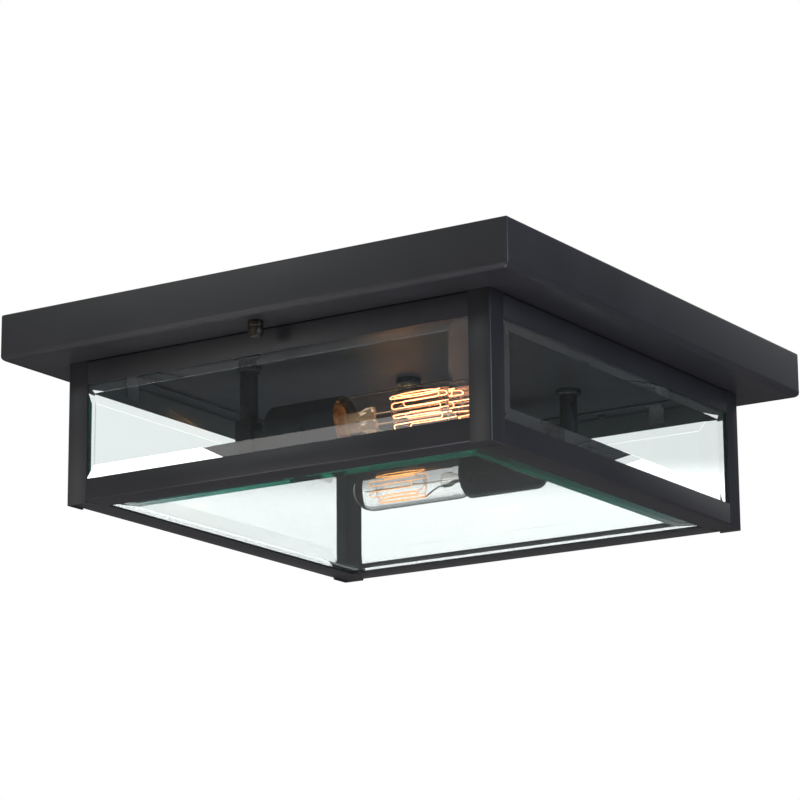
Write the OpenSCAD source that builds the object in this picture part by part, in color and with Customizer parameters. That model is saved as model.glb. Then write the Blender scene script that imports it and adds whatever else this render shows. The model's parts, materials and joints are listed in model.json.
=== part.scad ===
// Square flush-mount porch ceiling lantern. Millimetres, +Z up.
// Origin: centre of the mounting bar's screw slots, on the ceiling plane. The lantern hangs down from it.
// "Front" is the -Y side and "right" is the +X side. Lamp a sits at the front, lamp b is lamp a turned
// half a turn about Z, so that the two tubular lamps point opposite ways.

/* [Pan] */
// Outer width of the square pan
pan_w = 406.4; // [394:0.1:460]
// Depth of the pan, ceiling to underside
pan_depth = 32.7; // [29:0.1:45]
// Sheet thickness of the pan
pan_t = 1.2; // [0.8:0.1:2]
// Outside radius of the pan's lower bends
pan_bend_r = 3.5; // [2.2:0.1:6]

/* [Mounting bar] */
// Width of the bar
bar_w = 22; // [18:1:30]
// Thickness of the bar
bar_t = 2; // [1.5:0.1:3]
// Distance between the middles of the two box-screw slots
slot_spacing = 80; // [74:1:90]
// Length of a box-screw slot, end to end
slot_len = 26; // [16:1:32]
// Width of a box-screw slot
slot_w = 4.8; // [4:0.1:6]
// Distance from the pan's edge to each long stud
stud_inset = 16.7; // [14:0.1:21]
// How far the bar runs on past a long stud
bar_end = 10.5; // [6:0.5:12]
// Diameter of the long studs and of the cage studs
stud_d = 4.2; // [3.5:0.1:5]
// How far a long stud reaches below the pan
stud_reach = 7.5; // [5:0.1:8]
// Diameter of a cap nut
cap_nut_d = 10.4; // [8.5:0.1:12]
// Height of a cap nut
cap_nut_h = 10.5; // [10:0.1:12]
// Height of the hex nuts
nut_h = 3.2; // [2.4:0.1:4]

/* [Centre nipple] */
// Outside diameter of the threaded nipples
nipple_d = 10.2; // [9:0.1:11.4]
// Bore of the threaded nipples
nipple_bore = 7; // [6.2:0.1:7.4]
// Diameter of the round nut under the pan
centre_nut_d = 17.5; // [15:0.1:20]
// Height of the round nut under the pan
centre_nut_h = 4.5; // [3:0.1:6]

/* [Cage frame] */
// Distance from the pan's edge to the cage's outside
cage_inset = 33.6; // [28:0.1:42]
// Height of the cage, pan underside to rail bottom
cage_h = 98.6; // [90:0.1:120]
// Sheet thickness of posts and rails
frame_t = 1.5; // [1.2:0.1:2]
// Outside radius of the frame's folded edges
fold_r = 1.4; // [0.6:0.1:1.8]
// Leg width of the corner posts
post_leg = 16.4; // [14:0.1:20]
// How far the posts' feet stand below the rails
post_foot = 1; // [0.4:0.1:2]
// Face height of the top rails
top_rail_h = 16.5; // [13:0.1:20]
// Face height of the bottom rails
bottom_rail_h = 15.6; // [13:0.1:20]
// Width of the top rails' flange
top_flange = 16; // [14.5:0.1:18]
// Width of the bottom rails' flange
bottom_flange = 20; // [18:0.1:24]
// Distance between the two cage studs on a rail
cage_stud_spacing = 120; // [80:1:160]
// Height of the cage studs above the rail
cage_stud_h = 12; // [9:0.1:16]

/* [Glass] */
// Thickness of all panes
glass_t = 4.8; // [4:0.1:6]
// Distance from the cage's outside to each end of a centred side pane
pane_end_gap = 8.1; // [7.6:0.1:10]
// Play above a side pane
pane_top_gap = 2.7; // [1:0.1:5]
// Width of a side pane's bevel
side_bevel = 19; // [12:0.1:26]
// Distance from the cage's outside to the bottom pane's edge
bottom_pane_inset = 9.5; // [8.6:0.1:14]
// Width of the bottom pane's bevel
bottom_bevel = 25.4; // [16:0.1:32]
// How much glass a bevel takes off at the edge
bevel_drop = 2.8; // [1.5:0.1:3.2]
// Width of a glass clip
clip_w = 12; // [8:0.5:18]
// Length of a glass clip's leg
clip_leg = 12; // [8:0.5:18]
// Distance between the two clips of a side pane
clip_spacing = 210; // [180:1:240]

/* [Lamp holders] */
// Distance of each lamp's axis from the middle
lamp_y = 90; // [80:1:100]
// Depth of the lamp axis below the pan
lamp_drop = 48; // [42:0.1:55]
// Free length of the spigot between an elbow and its cup
elbow_gap = 14; // [9:0.1:20]
// Outside diameter of the stems
stem_d = 12.7; // [12:0.1:14]
// Diameter of the collar at the top of a stem
collar_d = 18.4; // [16:0.1:22]
// Height of that collar
collar_h = 4; // [3:0.1:6]
// Wall of the square elbow beside the stem
elbow_wall = 0.65; // [0.5:0.05:2]
// Height of the elbow
elbow_h = 18; // [15:0.5:22]
// Outside diameter of the socket cups
cup_d = 32; // [31.2:0.1:34]
// Height of the base block at the bottom of a cup
base_h = 11.4; // [9:0.1:14]
// Wall of the socket cups
cup_t = 1; // [0.8:0.1:1.2]
// Distance of a cup's mouth past the middle
mouth_x = 7.5; // [4:0.1:12]

/* [Lamps] */
// Diameter of a lamp's glass tube
tube_d = 30; // [28:0.1:30.5]
// Length of a lamp's glass outside its cup
tube_reach = 98.5; // [85:0.1:104]
// Overall length of a lamp
lamp_len = 140; // [120:0.5:146]
// Diameter of a lamp's screw cap
cap_d = 26.3; // [25:0.1:26.5]
// Length of the glowing loops
loop_len = 43; // [36:0.5:48]
// Diameter of the ring on which the loops stand
loop_ring_d = 20; // [16:0.1:22]
// Number of glowing loops
loops = 8; // [5:1:10]

/* [Hidden] */

$fn = 64;
eps = 0.01;
seat = 0.2;                       // gap between flat faces of pieces that come apart
thread_fit = 0.05;                // radial gap between a thread and its nut
hole_fit = 0.5;                   // radial gap of a screw's clearance hole
glass_gap = 0.3;                  // gap between a pane and what holds it

z_floor = -pan_depth + pan_t;     // inside of the pan's floor
z_under = -pan_depth;             // underside of the pan
cage_w = pan_w - 2 * cage_inset;  // outer width of the square cage
half_cage = cage_w / 2;
z_cage = z_under - seat;          // top of the cage
z_rail = z_under - cage_h;        // underside of the bottom rails
z_lamp = z_under - lamp_drop;     // axis of both lamps
stud_y = pan_w / 2 - stud_inset;  // long studs, from the middle
bar_len = 2 * (stud_y + bar_end);
stud_r = stud_d / 2;
nipple_r = nipple_d / 2;
nut_af = 2.05 * stud_d;           // hex nuts, across flats
nipple_nut_af = 1.45 * nipple_d;
cage_stud_y = half_cage - top_flange / 2;

// Side panes stand just above the bottom rails' flanges and end below the top rails' flanges
pane_in = frame_t + glass_gap;                // frame's outside to a side pane's outer face
z_pane = z_rail + frame_t + glass_gap;
side_pane_len = cage_w - 2 * pane_end_gap;
side_pane_h = z_cage - frame_t - pane_top_gap - z_pane;

// Panes lie loose in the frame, so each sits a little off the middle, front and right panes most plainly
pane_drift = [-5.5, -1.5, 5.5, 0];
clip_t = 0.8;
clip_foot = 7;

cap_end = tube_reach - lamp_len;  // end of a lamp's cap, measured from the cup's mouth
spigot_in = 3;                    // the elbow spigot's reach into the cup
base_gap = 1.2;                   // spigot's end to the base block
base_end = cap_end - 1.4;         // the base's front face, just behind the lamp's contact
base_u = base_end - base_h;
cup_len = cup_t + spigot_in + base_gap - base_u;
closed_x = mouth_x - cup_len;     // closed end of socket cup a
elbow_w = stem_d + 2 * elbow_wall;
stem_x = elbow_w / 2 + elbow_gap - closed_x;
shell_t = 0.4;
shell_r = cap_d / 2 + 0.3;        // inside radius of the screw shell
sleeve_t = 0.6;
lead_r = 0.9;
lead_fit = 0.1;
lead_apart = 2.4;                 // between the two leads of a lamp
bore_d = 6.6;                     // wire way through elbow and cup
tube_wall = 0.8;

// ---------- helpers ----------

// Four places, turned about Z: 0 front, 1 right, 2 rear, 3 left
module side(k) rotate([0, 0, 90 * k]) children();

// Lamp a as drawn, lamp b half a turn round
module lamp(k) rotate([0, 0, 180 * k]) children();

// Puts local +Z along lamp a's axis, with zero at the cup's mouth
module on_axis(u = 0) translate([mouth_x + u, -lamp_y, z_lamp]) rotate([0, 90, 0]) children();

module hex(af, h) cylinder(d = af / cos(30), h = h, $fn = 6);

module hex_nut(af, h, r) difference() {
    hex(af, h);
    translate([0, 0, -1]) cylinder(r = r + thread_fit, h = h + 2);
}

module tube(r_out, r_in, h) difference() {
    cylinder(r = r_out, h = h);
    translate([0, 0, -1]) cylinder(r = r_in, h = h + 2);
}

// Folded angle: legs along +X and +Y from a rounded outer corner at the origin
module angle_profile(a, b) union() {
    translate([fold_r, 0]) square([a - fold_r, frame_t]);
    translate([0, fold_r]) square([frame_t, b - fold_r]);
    intersection() {
        translate([fold_r, fold_r]) circle(r = fold_r);
        square(fold_r);
    }
    translate([fold_r - eps, fold_r - eps]) square(max(frame_t - fold_r, 0) + 2 * eps);
}

// Glass plate standing on z = 0 with its four lower edges ground back
module bevelled_plate(w, h, bevel) difference() {
    translate([-w / 2, -h / 2, 0]) cube([w, h, glass_t]);
    for (k = [0:3]) rotate([0, 0, 90 * k]) {
        across = k % 2 == 0 ? h : w;
        along = k % 2 == 0 ? w : h;
        translate([-along / 2 - 1, -across / 2, 0]) rotate([90, 0, 90]) linear_extrude(along + 2)
            polygon([[-1, -1], [bevel * (1 + 1 / bevel_drop), -1], [0, bevel_drop], [-1, bevel_drop]]);
    }
}

// Tube swept along a list of points, square to the path. aim(point) is a direction that the path never takes.
function unit(v) = v / norm(v);
function heading(p, i) = unit(p[min(i + 1, len(p) - 1)] - p[max(i - 1, 0)]);
function ring(p, i, r, n, aim) =
    let (t = heading(p, i), u = unit(cross(t, aim(p[i]))), v = cross(t, u))
    [for (k = [0:n - 1]) p[i] + r * (cos(360 * k / n) * u + sin(360 * k / n) * v)];
module sweep(p, r, n, aim) {
    m = len(p);
    polyhedron(
        [for (i = [0:m - 1]) each ring(p, i, r, n, aim)],
        concat(
            [[for (k = [0:n - 1]) k]],
            [for (i = [0:m - 2], k = [0:n - 1])
                let (a = i * n, b = a + n, j = (k + 1) % n)
                each [[a + k, b + k, b + j], [a + k, b + j, a + j]]],
            [[for (k = [n - 1:-1:0]) (m - 1) * n + k]]));
}

// Smooth curve from the first of the given points to the last, pulled towards those between
function bezier(p, t) = len(p) == 1 ? p[0] :
    bezier([for (i = [0:len(p) - 2]) (1 - t) * p[i] + t * p[i + 1]], t);
function curve(p, steps) = [for (i = [0:steps]) bezier(p, i / steps)];

// Round bar from point a to point b
module bar_between(a, b, r) {
    d = b - a;
    translate(a) rotate([0, acos(d.z / norm(d)), atan2(d.y, d.x)]) cylinder(r = r, h = norm(d));
}

// ---------- pan and mounting bar ----------

// Square block whose four lower edges are rounded
module pan_block(w, h, r) intersection() {
    rotate([90, 0, 0]) translate([0, 0, -w / 2]) linear_extrude(w) pan_profile(w, h, r);
    rotate([90, 0, 90]) translate([0, 0, -w / 2]) linear_extrude(w) pan_profile(w, h, r);
}

module pan_profile(w, h, r) union() {
    translate([-w / 2, r]) square([w, h - r]);
    translate([-w / 2 + r, 0]) square([w - 2 * r, r + eps]);
    for (s = [-1, 1]) translate([s * (w / 2 - r), r]) circle(r = r);
}

module canopy_pan() color("#2b2b2d") difference() {
    translate([0, 0, z_under]) pan_block(pan_w, pan_depth, pan_bend_r);
    translate([0, 0, z_floor]) pan_block(pan_w - 2 * pan_t, pan_depth, pan_bend_r - pan_t);
    translate([0, 0, z_under - 1]) {
        for (s = [-1, 1]) translate([0, s * stud_y, 0]) cylinder(r = stud_r + hole_fit, h = pan_t + 2);
        cylinder(r = nipple_r + thread_fit, h = pan_t + 2);
        for (k = [0:1]) lamp(k) at_stem() cylinder(r = nipple_r + thread_fit, h = pan_t + 2);
        at_cage_studs() cylinder(r = stud_r + hole_fit, h = pan_t + 2);
    }
}

module slot_cut(length, width, h) linear_extrude(h) union() {
    square([width, length - width], center = true);
    for (s = [-1, 1]) translate([0, s * (length - width) / 2]) circle(d = width);
}

module mounting_bar() color("#b9bcc0") translate([0, 0, -bar_t]) difference() {
    translate([-bar_w / 2, -bar_len / 2, 0]) cube([bar_w, bar_len, bar_t]);
    translate([0, 0, -1]) {
        for (s = [-1, 1]) translate([0, s * slot_spacing / 2, 0]) slot_cut(slot_len, slot_w, bar_t + 2);
        for (s = [-1, 1]) translate([0, s * stud_y, 0]) cylinder(r = stud_r + thread_fit, h = bar_t + 2);
        cylinder(r = nipple_r + thread_fit, h = bar_t + 2);
        translate([0, ground_y, 0]) cylinder(r = ground_r + thread_fit, h = bar_t + 2);
    }
}

// The long studs screw into the bar and reach down through the pan
module mounting_studs() color("#c8b060") for (s = [-1, 1])
    translate([0, s * stud_y, z_under - stud_reach]) cylinder(r = stud_r, h = stud_reach + pan_depth - seat);

module bar_nuts() color("#c0c2c6") for (s = [-1, 1])
    translate([0, s * stud_y, -bar_t - nut_h]) hex_nut(nut_af, nut_h, stud_r);

// Round bar whose lower edge is turned off at 45 degrees
module turned(d, h, chamfer) union() {
    translate([0, 0, chamfer]) cylinder(d = d, h = h - chamfer);
    cylinder(d1 = d - 2 * chamfer, d2 = d, h = chamfer);
}

// Blind round nut on the end of a long stud
cap_nut_chamfer = 1.4;
cap_nut_play = 0.8;                           // past the stud's end
module cap_nut(s) color("#3a3226") translate([0, s * stud_y, z_under - seat - cap_nut_h]) difference() {
    turned(cap_nut_d, cap_nut_h, cap_nut_chamfer);
    translate([0, 0, cap_nut_h + seat - stud_reach - cap_nut_play])
        cylinder(r = stud_r + thread_fit, h = stud_reach + cap_nut_play + 1);
}
module cap_nut_front() cap_nut(-1);
module cap_nut_rear() cap_nut(1);

// Hollow nipple from the bar down through the pan, with a round nut below
nipple_tail = 1.2;                            // nipple below its nut
centre_nut_chamfer = 0.8;
module centre_nipple() color("#c8b060") translate([0, 0, z_under - centre_nut_h - nipple_tail])
    tube(nipple_r, nipple_bore / 2, centre_nut_h + nipple_tail + pan_depth - seat);

module centre_nut() color("#242426") translate([0, 0, z_under - centre_nut_h]) difference() {
    turned(centre_nut_d, centre_nut_h, centre_nut_chamfer);
    translate([0, 0, -1]) cylinder(r = nipple_r + thread_fit, h = centre_nut_h + 2);
}

// ---------- cage frame ----------

module at_cage_studs() for (k = [0, 2], s = [-1, 1])
    side(k) translate([s * cage_stud_spacing / 2, -cage_stud_y, 0]) children();

module cage_studs() color("#c0c2c6") at_cage_studs()
    translate([0, 0, z_cage]) cylinder(r = stud_r, h = cage_stud_h);

nut_flange_t = 1;
nut_flange_r = 0.72 * nut_af;
module cage_nuts() color("#c0c2c6") at_cage_studs() translate([0, 0, z_floor]) union() {
    translate([0, 0, nut_flange_t]) hex_nut(nut_af, nut_h, stud_r);
    tube(nut_flange_r, stud_r + thread_fit, nut_flange_t + eps);
}

// Post 0 stands at the front right corner, and the others follow round
module corner_post(k) color("#2b2b2d") side(k)
    translate([half_cage, -half_cage, z_rail - post_foot]) rotate([0, 0, 90])
        linear_extrude(z_cage - z_rail + post_foot) angle_profile(post_leg, post_leg);
module post_front_right() corner_post(0);
module post_rear_right() corner_post(1);
module post_rear_left() corner_post(2);
module post_front_left() corner_post(3);

// A rail's folded angle between two posts, and its flange carried into the mitred corners.
// It is drawn with the fold at the bottom front edge.
joint_gap = 0.12;
module rail(face_h, flange) union() {
    length = cage_w - 2 * (post_leg + joint_gap);
    inner = half_cage - flange;
    edge = half_cage - frame_t - joint_gap;
    translate([-length / 2, -half_cage, 0]) rotate([90, 0, 90])
        linear_extrude(length) angle_profile(min(flange, post_leg), face_h);
    linear_extrude(frame_t) polygon([[-edge + joint_gap, -edge], [edge - joint_gap, -edge],
        [inner - joint_gap, -inner], [-inner + joint_gap, -inner]]);
}
module bottom_rail(k) color("#2b2b2d") side(k) translate([0, 0, z_rail]) rail(bottom_rail_h, bottom_flange);
module top_rail(k) color("#2b2b2d") side(k)
    translate([0, 0, z_cage]) mirror([0, 0, 1]) rail(top_rail_h, top_flange);
module bottom_rail_front() bottom_rail(0);
module bottom_rail_right() bottom_rail(1);
module bottom_rail_rear() bottom_rail(2);
module bottom_rail_left() bottom_rail(3);
module top_rail_front() top_rail(0);
module top_rail_right() top_rail(1);
module top_rail_rear() top_rail(2);
module top_rail_left() top_rail(3);

// ---------- glass ----------

module side_pane(k) color("#bfe3dc", 0.4) side(k)
    translate([pane_drift[k], -half_cage + pane_in, z_pane + side_pane_h / 2]) rotate([-90, 0, 0])
        bevelled_plate(side_pane_len, side_pane_h, side_bevel);
module side_pane_front() side_pane(0);
module side_pane_right() side_pane(1);
module side_pane_rear() side_pane(2);
module side_pane_left() side_pane(3);

// The bottom pane's bevel rests on the inner edges of the bottom flanges
bevel_rest = bevel_drop * (1 - (bottom_flange - bottom_pane_inset) / bottom_bevel);
module bottom_pane() color("#bfe3dc", 0.4) translate([0, 0, z_pane - bevel_rest])
    bevelled_plate(cage_w - 2 * bottom_pane_inset, cage_w - 2 * bottom_pane_inset, bottom_bevel);

// Two bent clips a side hang from the top flange and stop the pane's top edge
clip_in = pane_in + glass_t + glass_gap;      // frame's outside to a clip
module glass_clips() color("#9a9da1") for (k = [0:3], s = [-1, 1]) side(k)
    translate([s * clip_spacing / 2 - clip_w / 2, -half_cage + clip_in, z_cage - frame_t]) {
        translate([0, 0, -clip_leg]) cube([clip_w, clip_t, clip_leg]);
        translate([0, 0, -clip_t]) cube([clip_w, clip_foot, clip_t]);
    }

// ---------- stems and lamp holders ----------

stem_top = z_under - collar_h;
stem_in = 5;                                  // stem's reach down into the elbow
stem_foot = z_lamp + elbow_h / 2 - stem_in;
nipple_in = 12;                               // nipple's reach down inside the stem
nipple_up = 10;                               // and above the pan's floor

collar_chamfer = 1;

module at_stem() translate([-stem_x, -lamp_y, 0]) children();

module collar(k) color("#242426") lamp(k) at_stem() translate([0, 0, stem_top]) difference() {
    turned(collar_d, collar_h, collar_chamfer);
    translate([0, 0, -1]) cylinder(r = nipple_r + thread_fit, h = collar_h + 2);
}
module collar_a() collar(0);
module collar_b() collar(1);

module stem(k) color("#242426") lamp(k) at_stem() translate([0, 0, stem_foot])
    tube(stem_d / 2, nipple_r + thread_fit, stem_top - stem_foot);
module stem_a() stem(0);
module stem_b() stem(1);

module stem_nipples() color("#c8b060") for (k = [0:1]) lamp(k) at_stem()
    translate([0, 0, stem_top - nipple_in])
        tube(nipple_r, nipple_bore / 2, nipple_in + collar_h + pan_t + nipple_up);

module stem_nuts() color("#c0c2c6") for (k = [0:1]) lamp(k) at_stem() translate([0, 0, z_floor])
    hex_nut(nipple_nut_af, nut_h, nipple_r);

// Square elbow: the stem drops into its top, and a hollow spigot runs into the cup's closed end
spigot_d = 10;
spigot_len = stem_x + closed_x + cup_t + spigot_in;
module elbow(k) color("#242426") lamp(k) at_stem() translate([0, 0, z_lamp]) difference() {
    union() {
        translate([-elbow_w / 2, -elbow_w / 2, -elbow_h / 2]) cube([elbow_w, elbow_w, elbow_h]);
        rotate([0, 90, 0]) cylinder(d = spigot_d, h = spigot_len);
    }
    translate([0, 0, stem_foot - z_lamp]) cylinder(r = stem_d / 2 + thread_fit, h = elbow_h);
    translate([0, 0, -bore_d / 2]) cylinder(d = bore_d, h = elbow_h);
    rotate([0, 90, 0]) cylinder(d = bore_d, h = spigot_len + 1);
}
module elbow_a() elbow(0);
module elbow_b() elbow(1);

// Plain tubular cup with a rounded closed end
cup_round = 5;
module cup_outline(r, l, c) union() {
    translate([0, c]) square([r, l - c]);
    square([r - c, l]);
    translate([r - c, c]) circle(r = c);
}
module socket_cup(k) color("#2b2b2d") lamp(k) on_axis(-cup_len) difference() {
    rotate_extrude() intersection() {
        cup_outline(cup_d / 2, cup_len, cup_round);
        square([cup_d, cup_len]);
    }
    translate([0, 0, cup_t]) rotate_extrude() intersection() {
        cup_outline(cup_d / 2 - cup_t, cup_len, cup_round - cup_t);
        square([cup_d, cup_len]);
    }
    translate([0, 0, -1]) cylinder(r = spigot_d / 2 + thread_fit, h = cup_t + 2);
}
module socket_cup_a() socket_cup(0);
module socket_cup_b() socket_cup(1);

// Moulded base block that the screw shell stands on
base_r = cup_d / 2 - cup_t - 0.6;             // a little smaller than the cup's inside
base_hole = 4;                                // depth of the lead holes in the base
lead_in = base_hole - 1;
module socket_base(k) color("#e6e0d0") lamp(k) on_axis(base_u) difference() {
    union() {
        cylinder(r = base_r, h = base_h);
        translate([0, 0, -base_gap]) tube(spigot_d / 2 + 1.5, spigot_d / 2 - 1, base_gap + eps);
    }
    for (s = [-1, 1]) translate([0, s * lead_apart / 2, -1])
        cylinder(r = lead_r + lead_fit, h = base_hole + 1);
}
module socket_base_a() socket_base(0);
module socket_base_b() socket_base(1);

// Brass shell that takes the lamp's cap. It stands on the base block.
shell_rim = -14;                              // the shell's open edge, behind the cup's mouth
module screw_shell(k) color("#d2b24c") lamp(k) on_axis(base_end)
    tube(shell_r + shell_t, shell_r, shell_rim - base_end);
module screw_shell_a() screw_shell(0);
module screw_shell_b() screw_shell(1);

// Insulating tube between the shell and the cup
sleeve_r = shell_r + shell_t + 0.1;           // inside radius of the sleeve
sleeve_rim = shell_rim + 6;
module socket_sleeve(k) color("#3b3024") lamp(k) on_axis(base_end)
    tube(sleeve_r + sleeve_t, sleeve_r, sleeve_rim - base_end);
module socket_sleeve_a() socket_sleeve(0);
module socket_sleeve_b() socket_sleeve(1);

// Sprung brass tabs that meet the lamps' end contacts
tab = [6, 14, 0.5];
module centre_contacts() color("#d2b24c") for (k = [0:1]) lamp(k) on_axis(base_end) {
    translate([-tab.x / 2, -tab.y / 2, 0]) cube(tab);
    cylinder(r = 2.4, h = cap_end - base_end - 0.3);
}

// ---------- wires inside ----------

// Each lamp's two leads run from its socket base through elbow and stem into the pan. There one takes the
// short way to the connector on its own side, and the other the long way to the one on the other side.
joint_rise = 14;
z_joint = z_floor + joint_rise;               // height at which the leads meet the connectors
joint_x = 44;                                 // mouth of a connector
joint_y = 20;
joint_apart = 1.4;                            // half the distance of two leads in a connector
connector_len = 24;
connector_r = 5.4;
connector_bore = 3.6;
connector_depth = 10;
lead_tuck = connector_depth - glass_gap;      // a lead's reach into its connector
lead_start = mouth_x + base_u + lead_in;
stem_bend = 9;                                // where the leads start to turn up, inside the elbow
lead_rise = 7;                                // pull that keeps a lead upright as it leaves its nipple
near_y = joint_y - joint_apart;
far_y = joint_y + joint_apart;
side_sweep = [5, -10];                        // short lead: along the side, inside the stem's line
run_in = 20;                                  // straight pull into a connector
front_sweep = [20, -110];                     // long lead: along the front, then round the right
right_sweep = [110, -34];
route_short = [[-stem_x + side_sweep.x, side_sweep.y], [-joint_x - run_in, near_y], [-joint_x, near_y]];
route_long = [front_sweep, right_sweep, [joint_x + run_in, -far_y], [joint_x, -far_y]];

function lead_path(y, route, into) =
    let (top = z_floor + nipple_up + joint_gap,
        rise = [[-stem_x, y, top], [-stem_x, y, top + lead_rise]],
        far = route[len(route) - 1])
    concat([[lead_start, y, z_lamp]],
        curve([[-stem_x + stem_bend, y, z_lamp], [-stem_x, y, z_lamp], [-stem_x, y, z_lamp + stem_bend]], 6),
        curve(concat(rise, [for (q = route) [q.x, q.y, z_joint]]), 22),
        [[far.x + into * lead_tuck, far.y, z_joint]]);

module lead(k, s, route, into) lamp(k)
    sweep(lead_path(-lamp_y + s * lead_apart / 2, route, into), lead_r, 8, function(p) [0.35, 0.85, -0.4]);

module lead_wires_black() color("#1c1c1c") {
    lead(0, 1, route_short, 1);
    lead(1, -1, route_long, -1);
}
module lead_wires_white() color("#e8e8e4") {
    lead(0, -1, route_long, -1);
    lead(1, 1, route_short, 1);
}

// Twist-on caps over the joined leads, mouths facing away from the middle
module wire_connectors() color("#d98a2b") for (k = [0:1]) lamp(k)
    translate([-joint_x, joint_y, z_joint]) rotate([0, 90, 0]) difference() {
        cylinder(r1 = connector_r, r2 = connector_r * 0.6, h = connector_len);
        translate([0, 0, -1]) cylinder(r = connector_bore, h = connector_depth + 1);
    }

// Bond wire from a stud on the pan's floor up to a screw in the bar
ground_y = 16;
ground_r = 1.75;
ground_head = 2.2;
ring_t = 0.8;
ring_len = 9;
ring_head = 4;
pan_stud = [30, 10];
pan_stud_h = 8;
bond_head_d = 7;
bond_nut_h = 2.4;
bond_sweep = [46, 42, -12];                   // the bond wire's far bend
bond_reach = 48;                              // how far it runs along the pan first
module ring_terminal() linear_extrude(ring_t) difference() {
    union() {
        circle(r = ring_head);
        translate([0, -1.5]) square([ring_len, 3]);
    }
    circle(r = ground_r + thread_fit);
}
module ground_wire() color("#3f8f4a") {
    translate([pan_stud.x, pan_stud.y, z_floor]) rotate([0, 0, 90]) ring_terminal();
    translate([0, ground_y, -bar_t - ring_t]) ring_terminal();
    low = z_floor + ring_t + lead_r;
    high = -bar_t - ring_t - lead_r;
    crimp = ring_len - 3;
    bend = [[pan_stud.x, bond_reach, low], bond_sweep, [pan_stud.x, ground_y, high]];
    sweep(curve(concat([[pan_stud.x, pan_stud.y + crimp, low]], bend, [[crimp, ground_y, high]]), 16),
        lead_r, 8, function(p) [0.3, -0.3, -0.9]);
}
module ground_screws() color("#4d9a58") {
    translate([0, ground_y, -bar_t - ring_t - ground_head]) {
        cylinder(d = bond_head_d, h = ground_head);
        cylinder(r = ground_r, h = ground_head + ring_t + bar_t - seat);
    }
    translate([pan_stud.x, pan_stud.y, z_floor]) {
        cylinder(r = ground_r, h = pan_stud_h);
        translate([0, 0, ring_t]) hex_nut(bond_head_d, bond_nut_h, ground_r);
    }
}

// ---------- lamps ----------

// Blown glass tube, wall and all, from inside the cap to the round end
neck_r = cap_d / 2 - 1.4;                     // the tube narrows to this inside the cap
neck_u = -15;
taper_u = 2;                                  // where it starts to widen
full_u = 8;                                   // where it has its full width
round_u = tube_reach - tube_d / 2;            // where its round end starts
module glass_outline(off) {
    r = tube_d / 2 - off;
    union() {
        polygon([[0, neck_u - 1], [neck_r - off, neck_u - 1], [neck_r - off, taper_u], [r, full_u],
            [r, round_u], [0, round_u]]);
        translate([0, round_u]) circle(r = r);
    }
}
module lamp_glass(k) color("#f2f6f5", 0.4) lamp(k) on_axis() rotate_extrude() intersection() {
    difference() {
        glass_outline(0);
        glass_outline(tube_wall);
    }
    translate([0, neck_u]) square([tube_d, lamp_len]);
}
module lamp_glass_a() lamp_glass(0);
module lamp_glass_b() lamp_glass(1);

// Screw cap: end contact, sloping insulator and the threaded barrel that the glass is cemented into
cap_rim = -13;                                // the barrel's open edge, behind the cup's mouth
contact_h = 1.2;
insulator_h = 3.4;
barrel_start = contact_h + insulator_h - 0.1;
module lamp_cap(k) color("#c9a64b") lamp(k) on_axis(cap_end) difference() {
    union() {
        cylinder(r1 = 3.6, r2 = 4.4, h = contact_h);
        translate([0, 0, contact_h - eps]) cylinder(r1 = 5, r2 = cap_d / 2 - 1.5, h = insulator_h);
        translate([0, 0, barrel_start]) cylinder(d = cap_d, h = cap_rim - cap_end - barrel_start);
    }
    translate([0, 0, barrel_start + 1.5]) cylinder(r = neck_r + thread_fit, h = lamp_len);
}
module lamp_cap_a() lamp_cap(0);
module lamp_cap_b() lamp_cap(1);

// Glass foot, pinched flat at its end, and a rod, with the filament's feed wires and hooks
flare_len = 9;
foot_r = 3.2;
pinch = [11, 4, 12];                          // the flat end of the foot
foot_end = 24;
ring_u = 38.5;                                // near bends of the loops
far_u = ring_u + loop_len;                    // far bends of the loops
rod_r = 0.9;
rod_end = tube_reach - 8;
hook_r = 0.22;
feed_r = 0.4;
fil_r = 0.3;
ring_r = loop_ring_d / 2;
leg_turn = 350 / (2 * loops - 1);             // angle between two neighbouring legs
last_leg = 2 * loops - 1;
bend_r = ring_r * sin(leg_turn / 2);
hook_in = 2 * fil_r + 0.1;                    // hooks pass just inside the bends
function on_ring(a, u) = [ring_r * cos(a), ring_r * sin(a), u];

module hook(a, u) rotate([0, 0, a]) translate([0, 0, u]) rotate([0, 90, 0])
    cylinder(r = hook_r, h = ring_r + fil_r);

module lamp_mount(k) color("#e9efee", 0.6) lamp(k) on_axis() union() {
    translate([0, 0, neck_u]) cylinder(r1 = neck_r - tube_wall - lead_fit, r2 = foot_r, h = flare_len);
    translate([0, 0, neck_u + flare_len - eps])
        cylinder(r = foot_r, h = foot_end - pinch.z - neck_u - flare_len + 1);
    translate([-pinch.x / 2, -pinch.y / 2, foot_end - pinch.z]) cube(pinch);
    translate([0, 0, foot_end - 1]) cylinder(r = rod_r, h = rod_end - foot_end + 1);
    for (i = [0:loops - 1]) hook(leg_turn * (2 * i + 0.5), far_u - hook_in);
    for (i = [0:loops - 2]) hook(leg_turn * (2 * i + 1.5), ring_u + hook_in);
    for (s = [[0, 0.6], [last_leg, -0.6]])
        bar_between([pinch.x / 3, s[1], foot_end - 1], on_ring(leg_turn * s[0], ring_u - seat), feed_r);
}
module lamp_mount_a() lamp_mount(0);
module lamp_mount_b() lamp_mount(1);

// Hairpin loops standing round the rod like the bars of a cage, one unbroken wire
mid_u = ring_u + loop_len / 2;
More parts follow.
